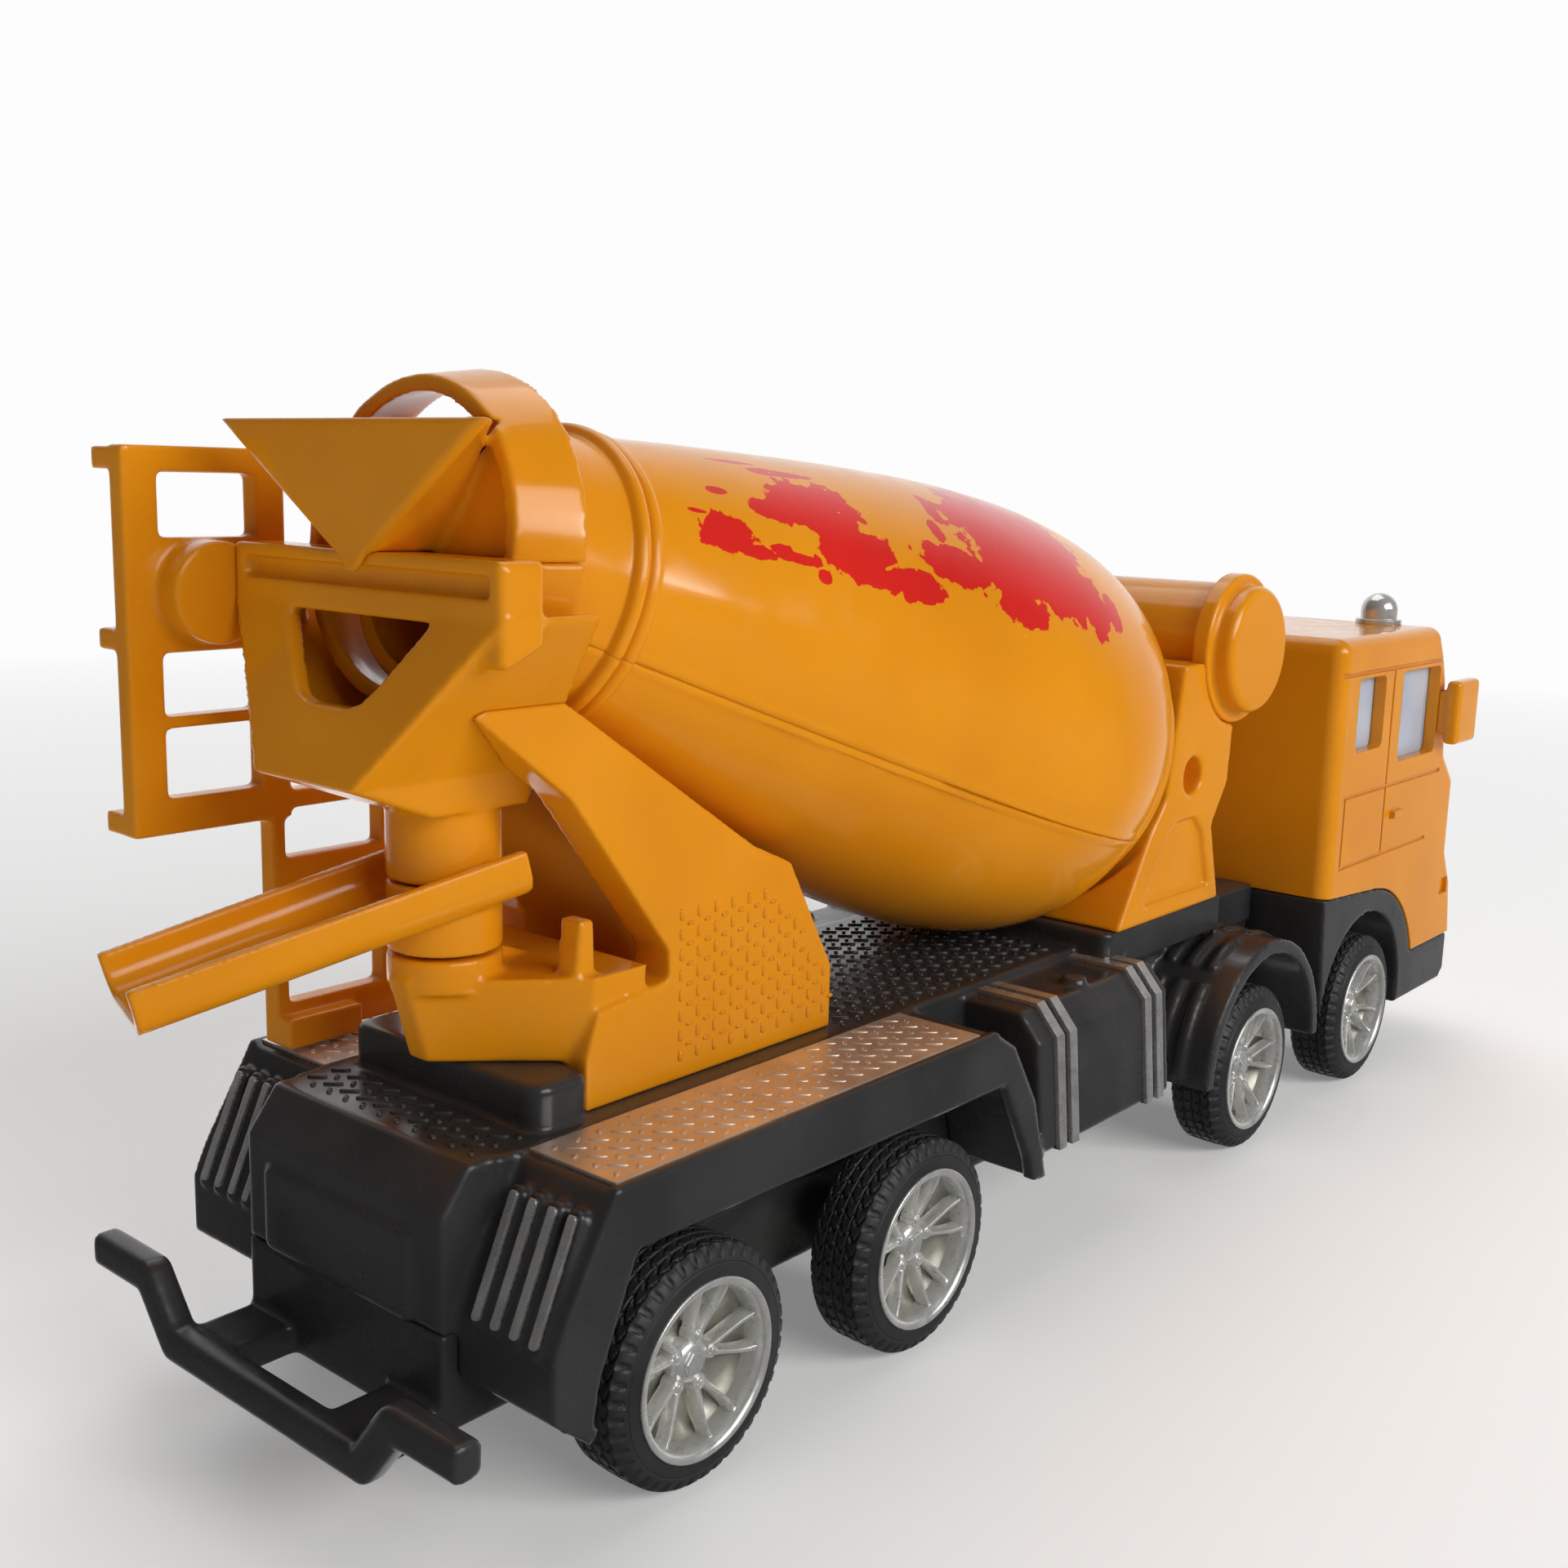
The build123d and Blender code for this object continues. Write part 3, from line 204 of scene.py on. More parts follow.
# Each finish by name:
# plain: colour, roughness and metal share under the nodes
# tone: waves per metre, detail and span of the noise between the colours light and dark
# specks: colour, waves per metre and share
# gloss: waves per metre and detail of the noise between the lowest and highest roughness
# bumps: waves per metre, detail and depth in mm
# edge: radius in mm that edges look rounded to
FINISHES = {
    "orange_plastic": {
        "plain": (ORANGE, 0.22, 0.0),
        "tone": (45.0, 2.0, 0.35, 0.65),
        "light": ORANGE,
        "dark": ORANGE_DEEP,
        "specks": ((0.86, 0.48, 0.14), 1900.0, 0.20),
        "gloss": (260.0, 4.0, 0.10, 0.22),
        "bumps": ((75.0, 1.0, 0.06), (1400.0, 3.0, 0.004)),
        "edge": 0.45,
    },
    "black_plastic": {
        "plain": ((0.012, 0.012, 0.013), 0.25, 0.0),
        "tone": (60.0, 2.0, 0.35, 0.65),
        "light": (0.028, 0.028, 0.029),
        "dark": (0.040, 0.039, 0.040),
        "specks": ((0.10, 0.095, 0.09), 2200.0, 0.20),
        "gloss": (180.0, 5.0, 0.14, 0.34),
        "bumps": ((95.0, 1.0, 0.045), (1700.0, 3.0, 0.005)),
        "edge": 0.45,
    },
    "tyre_rubber": {
        "plain": ((0.022, 0.022, 0.024), 0.6, 0.0),
        "tone": (130.0, 3.0, 0.35, 0.65),
        "light": (0.017, 0.017, 0.019),
        "dark": (0.030, 0.030, 0.032),
        "specks": ((0.16, 0.155, 0.15), 1500.0, 0.24),
        "gloss": (300.0, 4.0, 0.45, 0.66),
        "bumps": ((1500.0, 4.0, 0.02),),
        "edge": 0.12,
    },
    "rim_plating": {
        "plain": ((0.80, 0.80, 0.78), 0.3, 0.7),
        "tone": (240.0, 3.0, 0.35, 0.65),
        "light": (0.84, 0.84, 0.82),
        "dark": (0.68, 0.68, 0.66),
        "gloss": (700.0, 3.0, 0.22, 0.42),
        "bumps": ((900.0, 3.0, 0.015),),
        "edge": 0.12,
    },
    # The duller plating deep in the dish; its darker, slightly olive colour is painted shade in the recess.
    "rim_dish_shaded_plating": {
        "plain": ((0.50, 0.50, 0.44), 0.45, 0.75),
        "tone": (220.0, 3.0, 0.35, 0.65),
        "light": (0.44, 0.44, 0.38),
        "dark": (0.32, 0.32, 0.27),
        "gloss": (500.0, 3.0, 0.36, 0.55),
        "bumps": ((700.0, 3.0, 0.03),),
    },
    # Thin satin silver over black plastic, worn in specks; its warm tan tint is a painted reflection of the orange
    # body around it.
    "silver_paint": {
        "plain": ((0.62, 0.58, 0.53), 0.4, 0.8),
        "tone": (150.0, 4.0, 0.3, 0.7),
        "light": (0.82, 0.76, 0.70),
        "dark": (0.64, 0.58, 0.52),
        "specks": ((0.03, 0.03, 0.03), 900.0, 0.22),
        "gloss": (600.0, 3.0, 0.30, 0.46),
        "bumps": ((800.0, 4.0, 0.02),),
        "edge": 0.2,
    },
    # Clean hot-stamped silver of the tank bands and the louvres.
    "bright_paint": {
        "plain": ((0.78, 0.77, 0.76), 0.3, 0.85),
        "tone": (260.0, 3.0, 0.3, 0.7),
        "light": (0.82, 0.81, 0.80),
        "dark": (0.62, 0.61, 0.60),
        "specks": ((0.05, 0.05, 0.05), 1100.0, 0.20),
        "gloss": (700.0, 3.0, 0.22, 0.38),
        "bumps": ((900.0, 3.0, 0.015),),
        "edge": 0.2,
    },
    "window_gloss": {
        "plain": ((0.42, 0.50, 0.62), 0.12, 0.0),
        "tone": (70.0, 2.0, 0.35, 0.65),
        "light": (0.40, 0.48, 0.60),
        "dark": (0.50, 0.57, 0.67),
        "gloss": (300.0, 3.0, 0.07, 0.18),
        "bumps": ((60.0, 1.0, 0.08),),
    },
    "lens_plating": {
        "plain": ((0.72, 0.73, 0.72), 0.14, 0.55),
        "tone": (300.0, 2.0, 0.35, 0.65),
        "light": (0.78, 0.79, 0.78),
        "dark": (0.60, 0.61, 0.60),
        "gloss": (400.0, 3.0, 0.08, 0.2),
        "bumps": ((500.0, 2.0, 0.02),),
        "edge": 0.3,
    },
}


def surface(material, finish, light, dark):
    """Colour, gloss and relief of a finish, between two colours or node outputs."""
    tone_waves, tone_detail, start, stop = finish["tone"]
    tone = remap(material, noise(material, tone_waves, tone_detail), start, stop, 0.0, 1.0)
    base = mixed(material, tone, light, dark)
    if "specks" in finish:
        dust, speck_waves, share = finish["specks"]
        base = speckle(material, base, dust, speck_waves, share)
    set_colour(material, base)
    gloss_waves, gloss_detail, low, high = finish["gloss"]
    set_roughness(material, noise(material, gloss_waves, gloss_detail), low, high)
    layers = [(noise(material, waves, detail), depth * MM) for waves, detail, depth in finish["bumps"]]
    relief(material, layers, finish.get("edge", 0.0) * MM)


def finished(name):
    """Material of one of the finishes."""
    finish = FINISHES[name]
    colour, roughness, metallic = finish["plain"]
    material = new_material(name, colour, roughness, metallic)
    surface(material, finish, finish["light"], finish["dark"])
    return material


def orange_gloss(material):
    """Thin clear gloss and slight depth of the orange moulding."""
    shader = shader_of(material)
    shader.inputs["Specular IOR Level"].default_value = 0.36
    shader.inputs["Coat Weight"].default_value = 0.12
    shader.inputs["Coat Roughness"].default_value = 0.06
    shader.inputs["Subsurface Weight"].default_value = 0.06
    shader.inputs["Subsurface Scale"].default_value = 0.8 * MM
    shader.inputs["Subsurface Radius"].default_value = (1.0, 0.35, 0.05)


def orange_plastic():
    material = finished("orange_plastic")
    orange_gloss(material)
    return material


def island(material, coordinates, centre, size):
    """Print island: 1 at its middle, 0 at its rim, negative outside."""
    shift = add_node(material, "ShaderNodeVectorMath")
    shift.operation = "SUBTRACT"
    shift.inputs[1].default_value = (*centre, 0.0)
    link(material, coordinates, shift.inputs[0])
    scale = add_node(material, "ShaderNodeVectorMath")
    scale.operation = "DIVIDE"
    scale.inputs[1].default_value = (*size, 1.0)
    link(material, shift.outputs["Vector"], scale.inputs[0])
    length = add_node(material, "ShaderNodeVectorMath")
    length.operation = "LENGTH"
    link(material, scale.outputs["Vector"], length.inputs[0])
    return maths(material, "SUBTRACT", 1.0, length.outputs["Value"])


# Print islands on the drum: (mm along the axis, degrees round from the top), and their half sizes.
PRINT_ISLANDS = (
    ((9.8, 61.5), (3.6, 8.5)),
    ((13.0, 66.5), (3.4, 2.6)),
    ((6.6, 55.0), (1.3, 1.0)),
    ((10.4, 44.0), (1.5, 1.8)),
    ((22.0, 28.5), (5.0, 2.2)),
    ((16.0, 24.0), (3.2, 1.2)),
    ((23.5, 45.0), (7.0, 13.5)),
    ((17.0, 49.0), (3.6, 5.0)),
    ((27.0, 58.5), (6.0, 9.5)),
    ((34.5, 66.0), (6.0, 5.8)),
    ((18.3, 64.5), (3.6, 3.2)),
    ((22.0, 69.8), (0.9, 2.2)),
    ((59.0, 38.0), (14.0, 24.0)),
    ((59.0, 53.0), (13.5, 12.0)),
    ((43.5, 56.0), (7.0, 6.0)),
    ((53.5, 64.5), (4.6, 5.6)),
    ((69.0, 56.0), (3.6, 10.0)),
    ((73.6, 57.0), (1.6, 6.0)),
    ((44.3, 36.0), (1.2, 5.0)),
    ((42.2, 44.5), (0.9, 4.5)),
)
PRINT_HOLES = (((19.6, 59.0), (1.9, 5.4)), ((46.6, 27.0), (2.6, 4.4)), ((33.0, 38.0), (3.2, 6.0)))
# Noise that tears the print's rim: waves per metre, detail and weight.
PRINT_RAGGEDNESS = ((620.0, 6.0, 1.0), (150.0, 3.0, 0.9))
PRINT_FADE = 0.03
DRUM_MAP_LENGTH = 100.0
FULL_TURN = 360.0


def drum_plastic():
    """The orange moulding with the red print across its right side."""
    material = new_material("drum_plastic", ORANGE, 0.2)
    orange_gloss(material)
    drum_map = add_node(material, "ShaderNodeUVMap")
    drum_map.uv_map = "drum_map"
    stretch = add_node(material, "ShaderNodeVectorMath")
    stretch.operation = "MULTIPLY"
    stretch.inputs[1].default_value = (DRUM_MAP_LENGTH, FULL_TURN, 0.0)
    link(material, drum_map.outputs["UV"], stretch.inputs[0])
    coordinates = stretch.outputs["Vector"]
    cover = -1.0
    for centre, size in PRINT_ISLANDS:
        cover = maths(material, "MAXIMUM", cover, island(material, coordinates, centre, size))
    for centre, size in PRINT_HOLES:
        hole = maths(material, "MULTIPLY", island(material, coordinates, centre, size), -1.0)
        cover = maths(material, "MINIMUM", cover, hole)
    for waves, detail, weight in PRINT_RAGGEDNESS:
        shift = maths(material, "SUBTRACT", noise(material, waves, detail), 0.5)
        cover = maths(material, "ADD", cover, maths(material, "MULTIPLY", shift, weight))
    printed = remap(material, cover, 0.0, PRINT_FADE, 0.0, 1.0)
    red = mixed(material, printed, ORANGE, PRINT_RED)
    red_deep = mixed(material, printed, ORANGE_DEEP, PRINT_RED_DEEP)
    surface(material, FINISHES["orange_plastic"], red, red_deep)
    return material


def bright_steel():
    """Drawn steel of the axles and screws, with its grain along Y."""
    material = new_material("bright_steel", (0.56, 0.56, 0.57), 0.3, 1.0)
    drawn = noise(material, 900.0, 3.0, (1.0, 0.05, 1.0))
    tone = remap(material, drawn, NOISE_LOW, NOISE_HIGH, 0.0, 1.0)
    set_colour(material, mixed(material, tone, (0.60, 0.60, 0.61), (0.45, 0.45, 0.46)))
    set_roughness(material, drawn, 0.2, 0.4)
    relief(material, ((drawn, 0.01 * MM),), 0.1 * MM)
    return material


def floor_paper():
    """White paper that brightens into the wall away from the truck."""
    material = new_material("floor_paper", PAPER, 0.85)
    place = add_node(material, "ShaderNodeNewGeometry")
    span = add_node(material, "ShaderNodeVectorMath")
    span.operation = "LENGTH"
    link(material, place.outputs["Position"], span.inputs[0])
    glow = remap(material, span.outputs["Value"], FLOOR_PLAIN, FLOOR_BRIGHT, FLOOR_GLOW, WORLD_BRIGHT)
    lit = remap(material, glow, FLOOR_GLOW, WORLD_BRIGHT, 0.0, 1.0)
    set_colour(material, mixed(material, lit, PAPER, BLACK))
    shader = shader_of(material)
    shader.inputs["Emission Color"].default_value = (*WHITE, 1.0)
    shader.inputs["Specular IOR Level"].default_value = 0.0
    link(material, glow, shader.inputs["Emission Strength"])
    set_roughness(material, noise(material, 40.0), 0.7, 0.9)
    return material


def wall_paper():
    """Even white, brought by its own glow."""
    material = new_material("wall_paper", BLACK, 0.9)
    shader = shader_of(material)
    shader.inputs["Emission Color"].default_value = (*WHITE, 1.0)
    shader.inputs["Emission Strength"].default_value = WORLD_BRIGHT
    shader.inputs["Specular IOR Level"].default_value = 0.0
    return material


# ---------------------------------------------------------------- mesh helpers
SMOOTH_WHEELS = 35.0
SMOOTH_DRUM = 40.0
SMOOTH_DASHES = 60.0


def piece_from(name, bm, materials, smooth_angle):
    """Finish a mesh as a piece."""
    bmesh.ops.recalc_face_normals(bm, faces=bm.faces)
    mesh = bpy.data.meshes.new(name)
    bm.to_mesh(mesh)
    bm.free()
    return object_from(name, mesh, materials, smooth_angle)


def object_from(name, mesh, materials, smooth_angle):
    """Piece with smooth faces, split at edges sharper than an angle in degrees."""
    for material in materials:
        mesh.materials.append(material)
    mesh.shade_smooth()
    mesh.set_sharp_from_angle(angle=math.radians(smooth_angle))
    piece = bpy.data.objects.new(name, mesh)
    bpy.context.scene.collection.objects.link(piece)
    return piece


def skin(bm, rows, wrap_rows=False, wrap_columns=False, material_index=0):
    """Quads over a grid of vertices."""
    row_count = len(rows)
    column_count = len(rows[0])
    for i in range(row_count if wrap_rows else row_count - 1):
        for j in range(column_count if wrap_columns else column_count - 1):
            near = rows[i]
            far = rows[(i + 1) % row_count]
            k = (j + 1) % column_count
            face = bm.faces.new((near[j], near[k], far[k], far[j]))
            face.material_index = material_index


def turned(bm, profile, steps, material_index=0, closed=False):
    """Surface of revolution about Y: profile of (y, radius)."""
    rows = []
    for y, radius in profile:
        ring = []
        for index in range(steps):
            angle = 2 * math.pi * index / steps
            ring.append(bm.verts.new((radius * math.cos(angle), y, radius * math.sin(angle))))
        rows.append(ring)
    skin(bm, rows, wrap_rows=closed, wrap_columns=True, material_index=material_index)


# ---------------------------------------------------------------- tyres
TYRE_LOW, TYRE_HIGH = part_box("tyre_1_left")
TYRE_RADIUS = (TYRE_HIGH.z - TYRE_LOW.z) / 2
TYRE_HALF_WIDTH = (TYRE_HIGH.y - TYRE_LOW.y) / 2
BEAD_RADIUS = 8.85 * MM
TREAD_HALF_WIDTH = 2.7 * MM
TREAD_COLUMNS = 28
TREAD_CROWN = 0.10 * MM
SHOULDER_LUGS = 42
LUG_STEPS = 8
LUG_GAP_STEPS = (0, 1, 2)
LUG_DEPTH = 0.42 * MM
TREAD_PITCHES = 21
TYRE_STEPS = SHOULDER_LUGS * LUG_STEPS
GROOVE_SPACING = 1.35
GROOVE_HALF_WIDTH = 0.12 * MM
GROOVE_DEPTH = 0.30 * MM
SIPE_SHARE = 0.09
SIPE_DEPTH = 0.26 * MM
SIPE_BEND = 0.32
SIPE_LEAN = 0.10
# Side wall from the bead up: share of the half width and mm above the bead.
LOWER_WALL = ((0.985, 0.0), (1.0, 0.35), (1.0, 0.9), (0.985, 1.5), (0.98, 1.75), (0.955, 1.85), (0.97, 1.98))
# Side wall and shoulder: share of the half width, mm below the tread and what is moulded there.
UPPER_WALL = (
    (0.95, 1.35, "wall"),
    (0.90, 0.85, "lug"),
    (0.84, 0.50, "lug"),
    (0.76, 0.22, "lug"),
    (0.71, 0.12, "wall"),
)


def tread_depth(turn, y):
    """How far the tread is cut away at a share of a turn and a width."""
    depth = 0.0
    for groove in (-GROOVE_SPACING, 0.0, GROOVE_SPACING):
        if abs(y - groove * MM) < GROOVE_HALF_WIDTH:
            depth = GROOVE_DEPTH
    lane = (abs(y) / MM) / GROOVE_SPACING
    bend = SIPE_BEND * math.sin(math.pi * (lane % 1.0)) + SIPE_LEAN * lane
    phase = (turn * TREAD_PITCHES + bend + (0.5 if y > 0 else 0.0)) % 0.5
    if phase < SIPE_SHARE:
        depth = max(depth, SIPE_DEPTH)
    return depth


def tyre_profile():
    """(y, radius, kind) across the tyre from the inner bead to the outer bead."""
    half = TYRE_HALF_WIDTH
    side = [(half * share, BEAD_RADIUS + rise * MM, "wall") for share, rise in LOWER_WALL]
    side += [(half * share, TYRE_RADIUS - drop * MM, kind) for share, drop, kind in UPPER_WALL]
    tread = []
    for index in range(TREAD_COLUMNS + 1):
        y = TREAD_HALF_WIDTH * (1 - 2 * index / TREAD_COLUMNS)
        crown = TYRE_RADIUS - TREAD_CROWN * (y / TREAD_HALF_WIDTH) ** 2
        tread.append((y, crown, "tread"))
    other = [(-y, radius, kind) for y, radius, kind in reversed(side)]
    return side + tread + other


def tyre_mesh():
    bm = bmesh.new()
    rows = []
    for y, radius, kind in tyre_profile():
        ring = []
        for index in range(TYRE_STEPS):
            turn = index / TYRE_STEPS
            reach = radius
            if kind == "tread":
                reach -= tread_depth(turn, y)
            if kind == "lug" and index % LUG_STEPS in LUG_GAP_STEPS:
                reach -= LUG_DEPTH
            angle = 2 * math.pi * turn
            ring.append(bm.verts.new((reach * math.cos(angle), y, reach * math.sin(angle))))
        rows.append(ring)
    skin(bm, rows, wrap_rows=True, wrap_columns=True)
    bmesh.ops.recalc_face_normals(bm, faces=bm.faces)
    mesh = bpy.data.meshes.new("tyre")
    bm.to_mesh(mesh)
    bm.free()
    return mesh


# ---------------------------------------------------------------- rims
SPOKE_PAIRS = 5
SPOKE_STAGES = 14
SPOKE_ROOT = 2.6
SPOKE_REACH = 5.85
SPOKE_GAP = 0.35
SPOKE_SPREAD = 1.55
SPOKE_SPREAD_POWER = 1.3
SPOKE_HEIGHT = 2.05
SPOKE_BOW = 0.25
SPOKE_RISE = 1.35
SPOKE_RISE_POWER = 1.8
SPOKE_WIDTH = 0.82
SPOKE_FLARE = 0.22
# Share of the spoke's width and mm above its crown.
SPOKE_SECTION = ((-0.5, -1.5), (-0.36, -0.25), (-0.2, 0.0), (0.2, 0.0), (0.36, -0.25), (0.5, -1.5))
RIM_STEPS = 96
LIP_RADIUS = 9.3
BARREL_RADIUS = 8.80
BARREL_BACK = -3.2
RIM_FACE = 4.3
HUB_STEPS = 48
HUB_FACE = 2.5
NUT_CORNERS = 6
NUT_RADIUS = 1.34
BOLT_PLACE = 2.75
BOLT_STEPS = 14
# Distance along the axle and radius, in mm.
DISH_PROFILE = (
    (1.5, 8.19),
    (0.9, 7.7),
    (0.35, 6.4),
    (0.05, 4.6),
    (0.10, 2.9),
    (0.3, 2.2),
    (-1.4, 2.2),
    (-1.4, 8.19),
)
HUB_PROFILE = ((-1.4, 2.21), (1.1, 2.45), (1.75, 2.15), (2.05, 1.75), (2.12, 0.9), (2.12, 0.02))
BOLT_PROFILE = (
    (0.4, 0.98),
    (1.85, 0.92),
    (2.1, 0.78),
    (2.02, 0.56),
    (2.1, 0.5),
    (2.3, 0.4),
    (2.38, 0.2),
    (2.4, 0.01),
)


def in_metres(profile):
    return [(y * MM, radius * MM) for y, radius in profile]


def rim_barrel(bm):
    """Lip and barrel, as one closed ring section."""
    profile = (
        (RIM_FACE, 9.22),
        (RIM_FACE - 0.08, LIP_RADIUS),
        (RIM_FACE - 0.28, LIP_RADIUS),
        (RIM_FACE - 0.30, BARREL_RADIUS),
        (BARREL_BACK, BARREL_RADIUS),
        (BARREL_BACK, 8.2),
        (1.2, 8.15),
        (3.0, 8.22),
        (3.85, 8.36),
        (4.12, 8.52),
        (RIM_FACE, BARREL_RADIUS),
    )
    turned(bm, in_metres(profile), RIM_STEPS, closed=True)


def rim_dish(bm):
    """Shallow dished web behind the spokes, with its back closed."""
    turned(bm, in_metres(DISH_PROFILE), RIM_STEPS, material_index=1, closed=True)


def rim_hub(bm):
    """Domed hub with a hexagon nut on it."""
    turned(bm, in_metres(HUB_PROFILE), HUB_STEPS)
    nut = ((2.0, NUT_RADIUS), (HUB_FACE - 0.12, NUT_RADIUS), (HUB_FACE, 1.2), (HUB_FACE, 0.01))
    turned(bm, in_metres(nut), NUT_CORNERS)


def rim_bolt(bm, angle):
    """Domed bolt head on a raised boss at a spoke pair's root."""
    centre = Vector((math.cos(angle), 0, math.sin(angle))) * BOLT_PLACE * MM
    rings = []
    for y, radius in BOLT_PROFILE:
        ring = []
        for index in range(BOLT_STEPS):
            turn = 2 * math.pi * index / BOLT_STEPS
            offset = Vector((radius * math.cos(turn), y, radius * math.sin(turn))) * MM
            ring.append(bm.verts.new(centre + offset))
        rings.append(ring)
    skin(bm, rings, wrap_columns=True)


def rim_spoke(bm, pair_angle, side):
    """One blade of a pair: it leaves the root, spreads quickly and bends back to meet the lip."""
    across = Vector((-math.sin(pair_angle), 0, math.cos(pair_angle)))
    outward = Vector((math.cos(pair_angle), 0, math.sin(pair_angle)))
    rings = []
    for index in range(SPOKE_STAGES + 1):
        share = index / SPOKE_STAGES
        radius = SPOKE_ROOT + share * SPOKE_REACH
        spread = side * (SPOKE_GAP + SPOKE_SPREAD * math.sin(share * math.pi / 2) ** SPOKE_SPREAD_POWER)
        crown = SPOKE_HEIGHT + SPOKE_BOW * math.sin(share * math.pi) + SPOKE_RISE * share ** SPOKE_RISE_POWER
        width = SPOKE_WIDTH + SPOKE_FLARE * abs(2 * share - 1)
        ring = []
        for offset, height in SPOKE_SECTION:
            sideways = across * (spread + offset * width)
            point = outward * radius + sideways + Vector((0, crown + height, 0))
            ring.append(bm.verts.new(point * MM))
        rings.append(ring)
    skin(bm, rings, wrap_columns=True)


def rim_mesh():
    bm = bmesh.new()
    rim_barrel(bm)
    rim_dish(bm)
    rim_hub(bm)
    for pair in range(SPOKE_PAIRS):
        angle = 2 * math.pi * (pair + 0.25) / SPOKE_PAIRS
        rim_bolt(bm, angle)
        for side in (-1, 1):
            rim_spoke(bm, angle, side)
    bmesh.ops.recalc_face_normals(bm, faces=bm.faces)
    mesh = bpy.data.meshes.new("rim")
    bm.to_mesh(mesh)
    bm.free()
    return mesh


def build_wheels(rubber, plating, dish):
    tyre_data = tyre_mesh()
    rim_data = rim_mesh()
    for number in range(1, 5):
        for side in ("left", "right"):
            body = f"axle_{number}"
            turn = random.Random(10 * number + len(side)).uniform(0, 360)
            face = 0 if side == "left" else 180
            place = Matrix.Translation(middle(f"tyre_{number}_{side}"))
            stance = Matrix.Rotation(math.radians(face), 4, "Z")
            stance = stance @ Matrix.Rotation(math.radians(turn), 4, "Y")
            parts = ((f"tyre_{number}_{side}", tyre_data, (rubber,), "tyre_rubber"),
                     (f"rim_{number}_{side}", rim_data, (plating, dish), "silver_plating"))
            for node, shared, materials, slot in parts:
                mesh = shared.copy()
                mesh.transform(stance)
                piece = object_from(f"{node}_detailed", mesh, materials, SMOOTH_WHEELS)
                piece.matrix_world = place
                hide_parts(node)
                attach(piece, body)


# ---------------------------------------------------------------- drum
DRUM_AXIS = Vector(JOINTS["drum_spin"]["axis"]).normalized()
DRUM_ORIGIN = Vector(JOINTS["drum_spin"]["pos_m"])
DRUM_RIGHT = Vector((0, -1, 0))
DRUM_UP = DRUM_RIGHT.cross(DRUM_AXIS).normalized()
# Distance along the axis and outer radius, in mm.
BELLY = (
    (2.0, 16.2),
    (20.0, 20.3),
    (42.0, 24.9),
    (60.0, 27.9),
    (76.0, 29.1),
    (89.0, 27.8),
    (97.5, 23.2),
)
BELLY_END_SLOPE = -0.72
NECK = ((-12.0, 13.6), (-2.0, 15.3), (2.0, 16.2))
BEAD_STATIONS = (-0.9, 0.9)
BEAD_MIDDLE_RADIUS = 15.75
BEAD_THICKNESS = 0.8
DRUM_WALL = 1.6
SEAM_TURN = 115.0
NECK_STATIONS = (-12.0, -11.8, -11.0, -9.5, -8.0, -6.5, -5.0, -3.5)
BEAD_ZONE = 1.9
BEAD_STEP = 0.1
BEAD_STEPS = 39
BELLY_START = 2.2
SEAM_NEAR_BEADS = 0.4
SEAM_RADIUS = 27.0
# Degrees from the seam line, at the seam's radius, and height of the relief up to there in mm.
SEAM_STEPS = ((0.18, -0.10), (0.42, -0.02), (1.9, 0.15), (2.3, 0.06))
SEAM_OFFSETS = (0.0, 0.17, 0.19, 0.41, 0.44, 1.1, 1.88, 2.1, 2.32)
HALF_TURN = 180.0
SHELL_MARGIN = 2.6
SHELL_STEPS = 116
BELLY_STEPS = 90


def smooth_radius(s):
    """Belly radius through the driving points, on one smooth curve."""
    if s <= BELLY[0][0]:
        return None
    for index in range(len(BELLY) - 1):
        if s <= BELLY[index + 1][0]:
            break
    before = BELLY[max(index - 1, 0)]
    start, stop = BELLY[index], BELLY[index + 1]
    after = BELLY[min(index + 2, len(BELLY) - 1)]
    slope_start = (stop[1] - before[1]) / (stop[0] - before[0])
    slope_stop = (after[1] - start[1]) / (after[0] - start[0])
    if index == len(BELLY) - 2:
        slope_stop = BELLY_END_SLOPE
    span = stop[0] - start[0]
    t = (s - start[0]) / span
    keep = 2 * t ** 3 - 3 * t ** 2 + 1
    gain = -2 * t ** 3 + 3 * t ** 2
    lean = (t ** 3 - 2 * t ** 2 + t) * span
    land = (t ** 3 - t ** 2) * span
    return keep * start[1] + lean * slope_start + gain * stop[1] + land * slope_stop


def drum_radius(s):
    """Outer radius of the drum at a distance along its axis, bead rings included."""
    radius = smooth_radius(s)
    if radius is None:
        for (s_low, r_low), (s_high, r_high) in zip(NECK, NECK[1:]):
            if s <= s_high:
                radius = r_low + (r_high - r_low) * (s - s_low) / (s_high - s_low)
                break
    for bead in BEAD_STATIONS:
        if abs(s - bead) < BEAD_THICKNESS:
            radius = max(radius, BEAD_MIDDLE_RADIUS + math.sqrt(BEAD_THICKNESS ** 2 - (s - bead) ** 2))
    return radius


def drum_stations():
    """Distances along the axis, closer together at the neck's beads."""
    span = BELLY[-1][0] - BELLY_START
    stations = list(NECK_STATIONS)
    stations += [-BEAD_ZONE + BEAD_STEP * index for index in range(BEAD_STEPS)]
    stations += [BELLY_START + span * index / BELLY_STEPS for index in range(BELLY_STEPS + 1)]
    return stations


def drum_point(s, radius, turn):
    angle = math.radians(turn)
    spoke = DRUM_UP * math.cos(angle) + DRUM_RIGHT * math.sin(angle)
    return DRUM_ORIGIN + (DRUM_AXIS * s + spoke * radius) * MM


def seam_relief(offset):
    """Raised strip beside the seam line and the fine groove on it, by degrees from the seam."""
    for limit, height in SEAM_STEPS:
        if offset < limit:
            return height
    return 0.0


